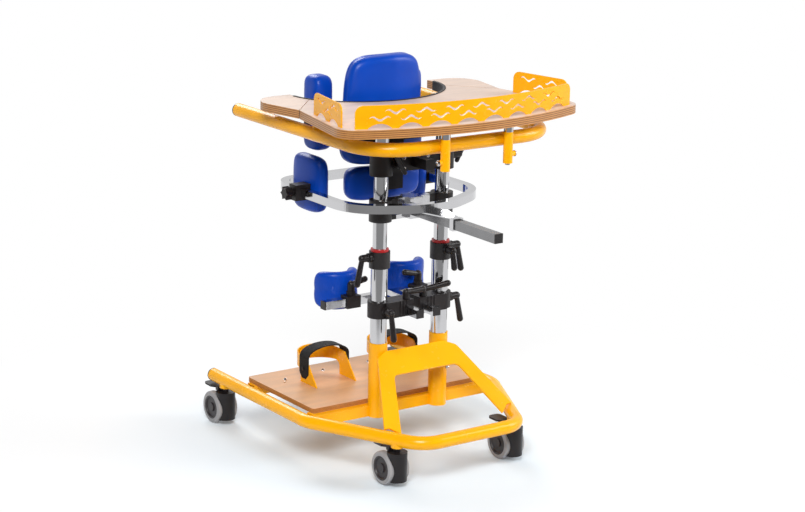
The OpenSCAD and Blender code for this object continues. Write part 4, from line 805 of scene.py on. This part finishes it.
class STAND_OT_stage(bpy.types.Operator):
    """Set the pale studio floor, the soft lamps and the camera"""

    bl_idname = "stand.stage"
    bl_label = "Set the stage"

    # Half width of the floor
    FLOOR_HALF = 30.0
    # Name, place, power and size of each lamp, and the height at which they all point
    LAMPS = (("key", (-2.6, -3.2, 3.4), 230.0, 1.8), ("fill", (3.4, -2.2, 2.4), 120.0, 2.0),
             ("back", (0.6, 3.4, 3.2), 90.0, 2.0))
    LAMP_AIM = Vector((0.0, 0.0, 0.45))
    # Distances over which the shadow gives way to plain white, and the share of white under the object
    SHADOW_NEAR, SHADOW_FAR = 0.4, 1.2
    SHADOW_WHITE = 0.12
    # Distances over which the cool tone under the object, which evens out the paint's warm glow, turns plain
    COOL_NEAR, COOL_FAR = 0.3, 0.75
    COOL, PLAIN, DIM = (0.72, 0.81, 0.88, 1.0), (0.86, 0.86, 0.86, 1.0), (0.05, 0.05, 0.05, 1.0)
    # Distances towards the camera over which the white sweep ends, and the share of white that it loses
    SWEEP_NEAR, SWEEP_FAR = 0.9, 1.3
    SWEEP_LOSS = 0.7
    # The dim side of the studio lies behind the camera and overhead: its slope, its borders and its levels
    DIM_BACK, DIM_UP = 0.75, 0.66
    DIM_FROM, DIM_TO = -0.05, 0.4
    BRIGHT_LEVEL, DIM_LEVEL = 0.8, 0.112

    def execute(self, context):
        scene = context.scene
        shape = bmesh.new()
        bmesh.ops.create_grid(shape, x_segments=1, y_segments=1, size=self.FLOOR_HALF)
        mesh = bpy.data.meshes.new("studio_floor")
        shape.to_mesh(mesh)
        shape.free()
        floor = bpy.data.objects.new("studio_floor", mesh)
        scene.collection.objects.link(floor)
        heading = scene.stand_camera.azimuth
        forward = Vector((math.sin(heading), -math.cos(heading), 0.0))
        floor.data.materials.append(self.floor_finish(forward))
        self.world(scene, forward)
        for name, spot, energy, size in self.LAMPS:
            lamp = bpy.data.lights.new(name + "_lamp", "AREA")
            lamp.energy = energy
            lamp.size = size
            holder = bpy.data.objects.new(name + "_lamp", lamp)
            holder.location = spot
            holder.rotation_euler = (self.LAMP_AIM - Vector(spot)).to_track_quat("-Z", "Y").to_euler()
            scene.collection.objects.link(holder)
        self.camera(scene)
        scene.view_settings.view_transform = "Standard"
        return {"FINISHED"}

    def floor_finish(self, forward):
        """White to the camera and to reflections, darkened near the object by its own shadow.

        On the camera's side of the object the white sweep ends, and reflections see the dim studio floor.
        """
        material = bpy.data.materials.new("studio_floor")
        material.use_nodes = True
        add = node_adder(material.node_tree)
        place = add("TexCoord").outputs["Object"]
        path = add("LightPath").outputs
        reach = add("VectorMath", {0: place}, operation="LENGTH").outputs["Value"]
        fade = ramp(add, reach, self.SHADOW_NEAR, self.SHADOW_FAR, self.SHADOW_WHITE, 1.0)
        ahead = add("VectorMath", {0: place, 1: forward}, operation="DOT_PRODUCT").outputs["Value"]
        ended = math_node(add, "MULTIPLY", ramp(add, ahead, self.SWEEP_NEAR, self.SWEEP_FAR, 0.0, 1.0),
                          math_node(add, "SUBTRACT", 1.0, path["Is Camera Ray"]))
        mirrored = math_node(add, "MAXIMUM", path["Is Glossy Ray"], path["Is Transmission Ray"])
        seen = math_node(add, "MAXIMUM", path["Is Camera Ray"], mirrored)
        kept = math_node(add, "SUBTRACT", 1.0, math_node(add, "MULTIPLY", ended, self.SWEEP_LOSS))
        share = math_node(add, "MULTIPLY", math_node(add, "MULTIPLY", seen, fade), kept)
        pale = mix(add, ramp(add, reach, self.COOL_NEAR, self.COOL_FAR, 0.0, 1.0), self.COOL, self.PLAIN)
        matte = add("BsdfDiffuse", {"Color": mix(add, ended, pale, self.DIM)}).outputs[0]
        white = add("Emission").outputs[0]
        blend = add("MixShader", {0: share, 1: matte, 2: white}).outputs[0]
        add("OutputMaterial", {"Surface": blend})
        return material

    def world(self, scene, forward):
        """A white backdrop behind the object, and a dim studio overhead and behind the camera"""
        scene.world = bpy.data.worlds.new("studio")
        scene.world.use_nodes = True
        add = node_adder(scene.world.node_tree)
        place = add("TexCoord").outputs["Generated"]
        slope = self.DIM_BACK * forward + Vector((0.0, 0.0, self.DIM_UP))
        towards = add("VectorMath", {0: place, 1: slope}, operation="DOT_PRODUCT").outputs["Value"]
        fade = ramp(add, towards, self.DIM_FROM, self.DIM_TO, self.BRIGHT_LEVEL, self.DIM_LEVEL)
        level = math_node(add, "MAXIMUM", fade, add("LightPath").outputs["Is Camera Ray"])
        sky = add("Background", {"Color": (1.0, 1.0, 1.0, 1.0), "Strength": level}).outputs[0]
        add("OutputWorld", {"Surface": sky})

    @staticmethod
    def camera(scene):
        view = scene.stand_camera
        azimuth, elevation = view.azimuth, view.elevation
        back = Vector((math.sin(azimuth) * math.cos(elevation), -math.cos(azimuth) * math.cos(elevation),
                       math.sin(elevation)))
        right = Vector((math.cos(azimuth), math.sin(azimuth), 0.0))
        up = back.cross(right)
        across = right * math.cos(view.roll) + up * math.sin(view.roll)
        above = up * math.cos(view.roll) - right * math.sin(view.roll)
        spot = right * view.aim_side + Vector((0.0, POST_Y, view.aim_height)) + back * view.distance
        lens = bpy.data.cameras.new("studio_camera")
        lens.sensor_fit = "HORIZONTAL"
        lens.sensor_width = 36.0
        lens.lens = lens.sensor_width * view.focal_pixels / IMAGE_W
        lens.clip_end = 100.0
        camera = bpy.data.objects.new("studio_camera", lens)
        turned = Matrix((across, above, back)).transposed().to_4x4()
        camera.matrix_world = Matrix.Translation(spot) @ turned
        scene.collection.objects.link(camera)
        scene.camera = camera


STEPS = (STAND_OT_stage, STAND_OT_finishes, STAND_OT_upholstery, STAND_OT_straps, STAND_OT_trim,
         STAND_OT_fasteners)


class STAND_PT_panel(bpy.types.Panel):
    """Lists the steps that dress the standing frame"""

    bl_label = "Standing frame"
    bl_idname = "STAND_PT_panel"
    bl_space_type = "VIEW_3D"
    bl_region_type = "UI"
    bl_category = "Standing frame"

    def draw(self, context):
        for step in STEPS:
            self.layout.operator(step.bl_idname)


CLASSES = (StandFinishes, StandSizes, StandCamera) + STEPS + (STAND_PT_panel,)


def register():
    for kind in CLASSES:
        bpy.utils.register_class(kind)
    bpy.types.Scene.stand_finishes = bpy.props.PointerProperty(type=StandFinishes)
    bpy.types.Scene.stand_sizes = bpy.props.PointerProperty(type=StandSizes)
    bpy.types.Scene.stand_camera = bpy.props.PointerProperty(type=StandCamera)


def unregister():
    del bpy.types.Scene.stand_camera
    del bpy.types.Scene.stand_sizes
    del bpy.types.Scene.stand_finishes
    for kind in reversed(CLASSES):
        bpy.utils.unregister_class(kind)


def main():
    register()
    bpy.ops.stand.stage()
    bpy.ops.stand.finishes()
    bpy.ops.stand.upholstery()
    bpy.ops.stand.straps()
    bpy.ops.stand.trim()
    bpy.ops.stand.fasteners()


if __name__ == "__main__":
    main()
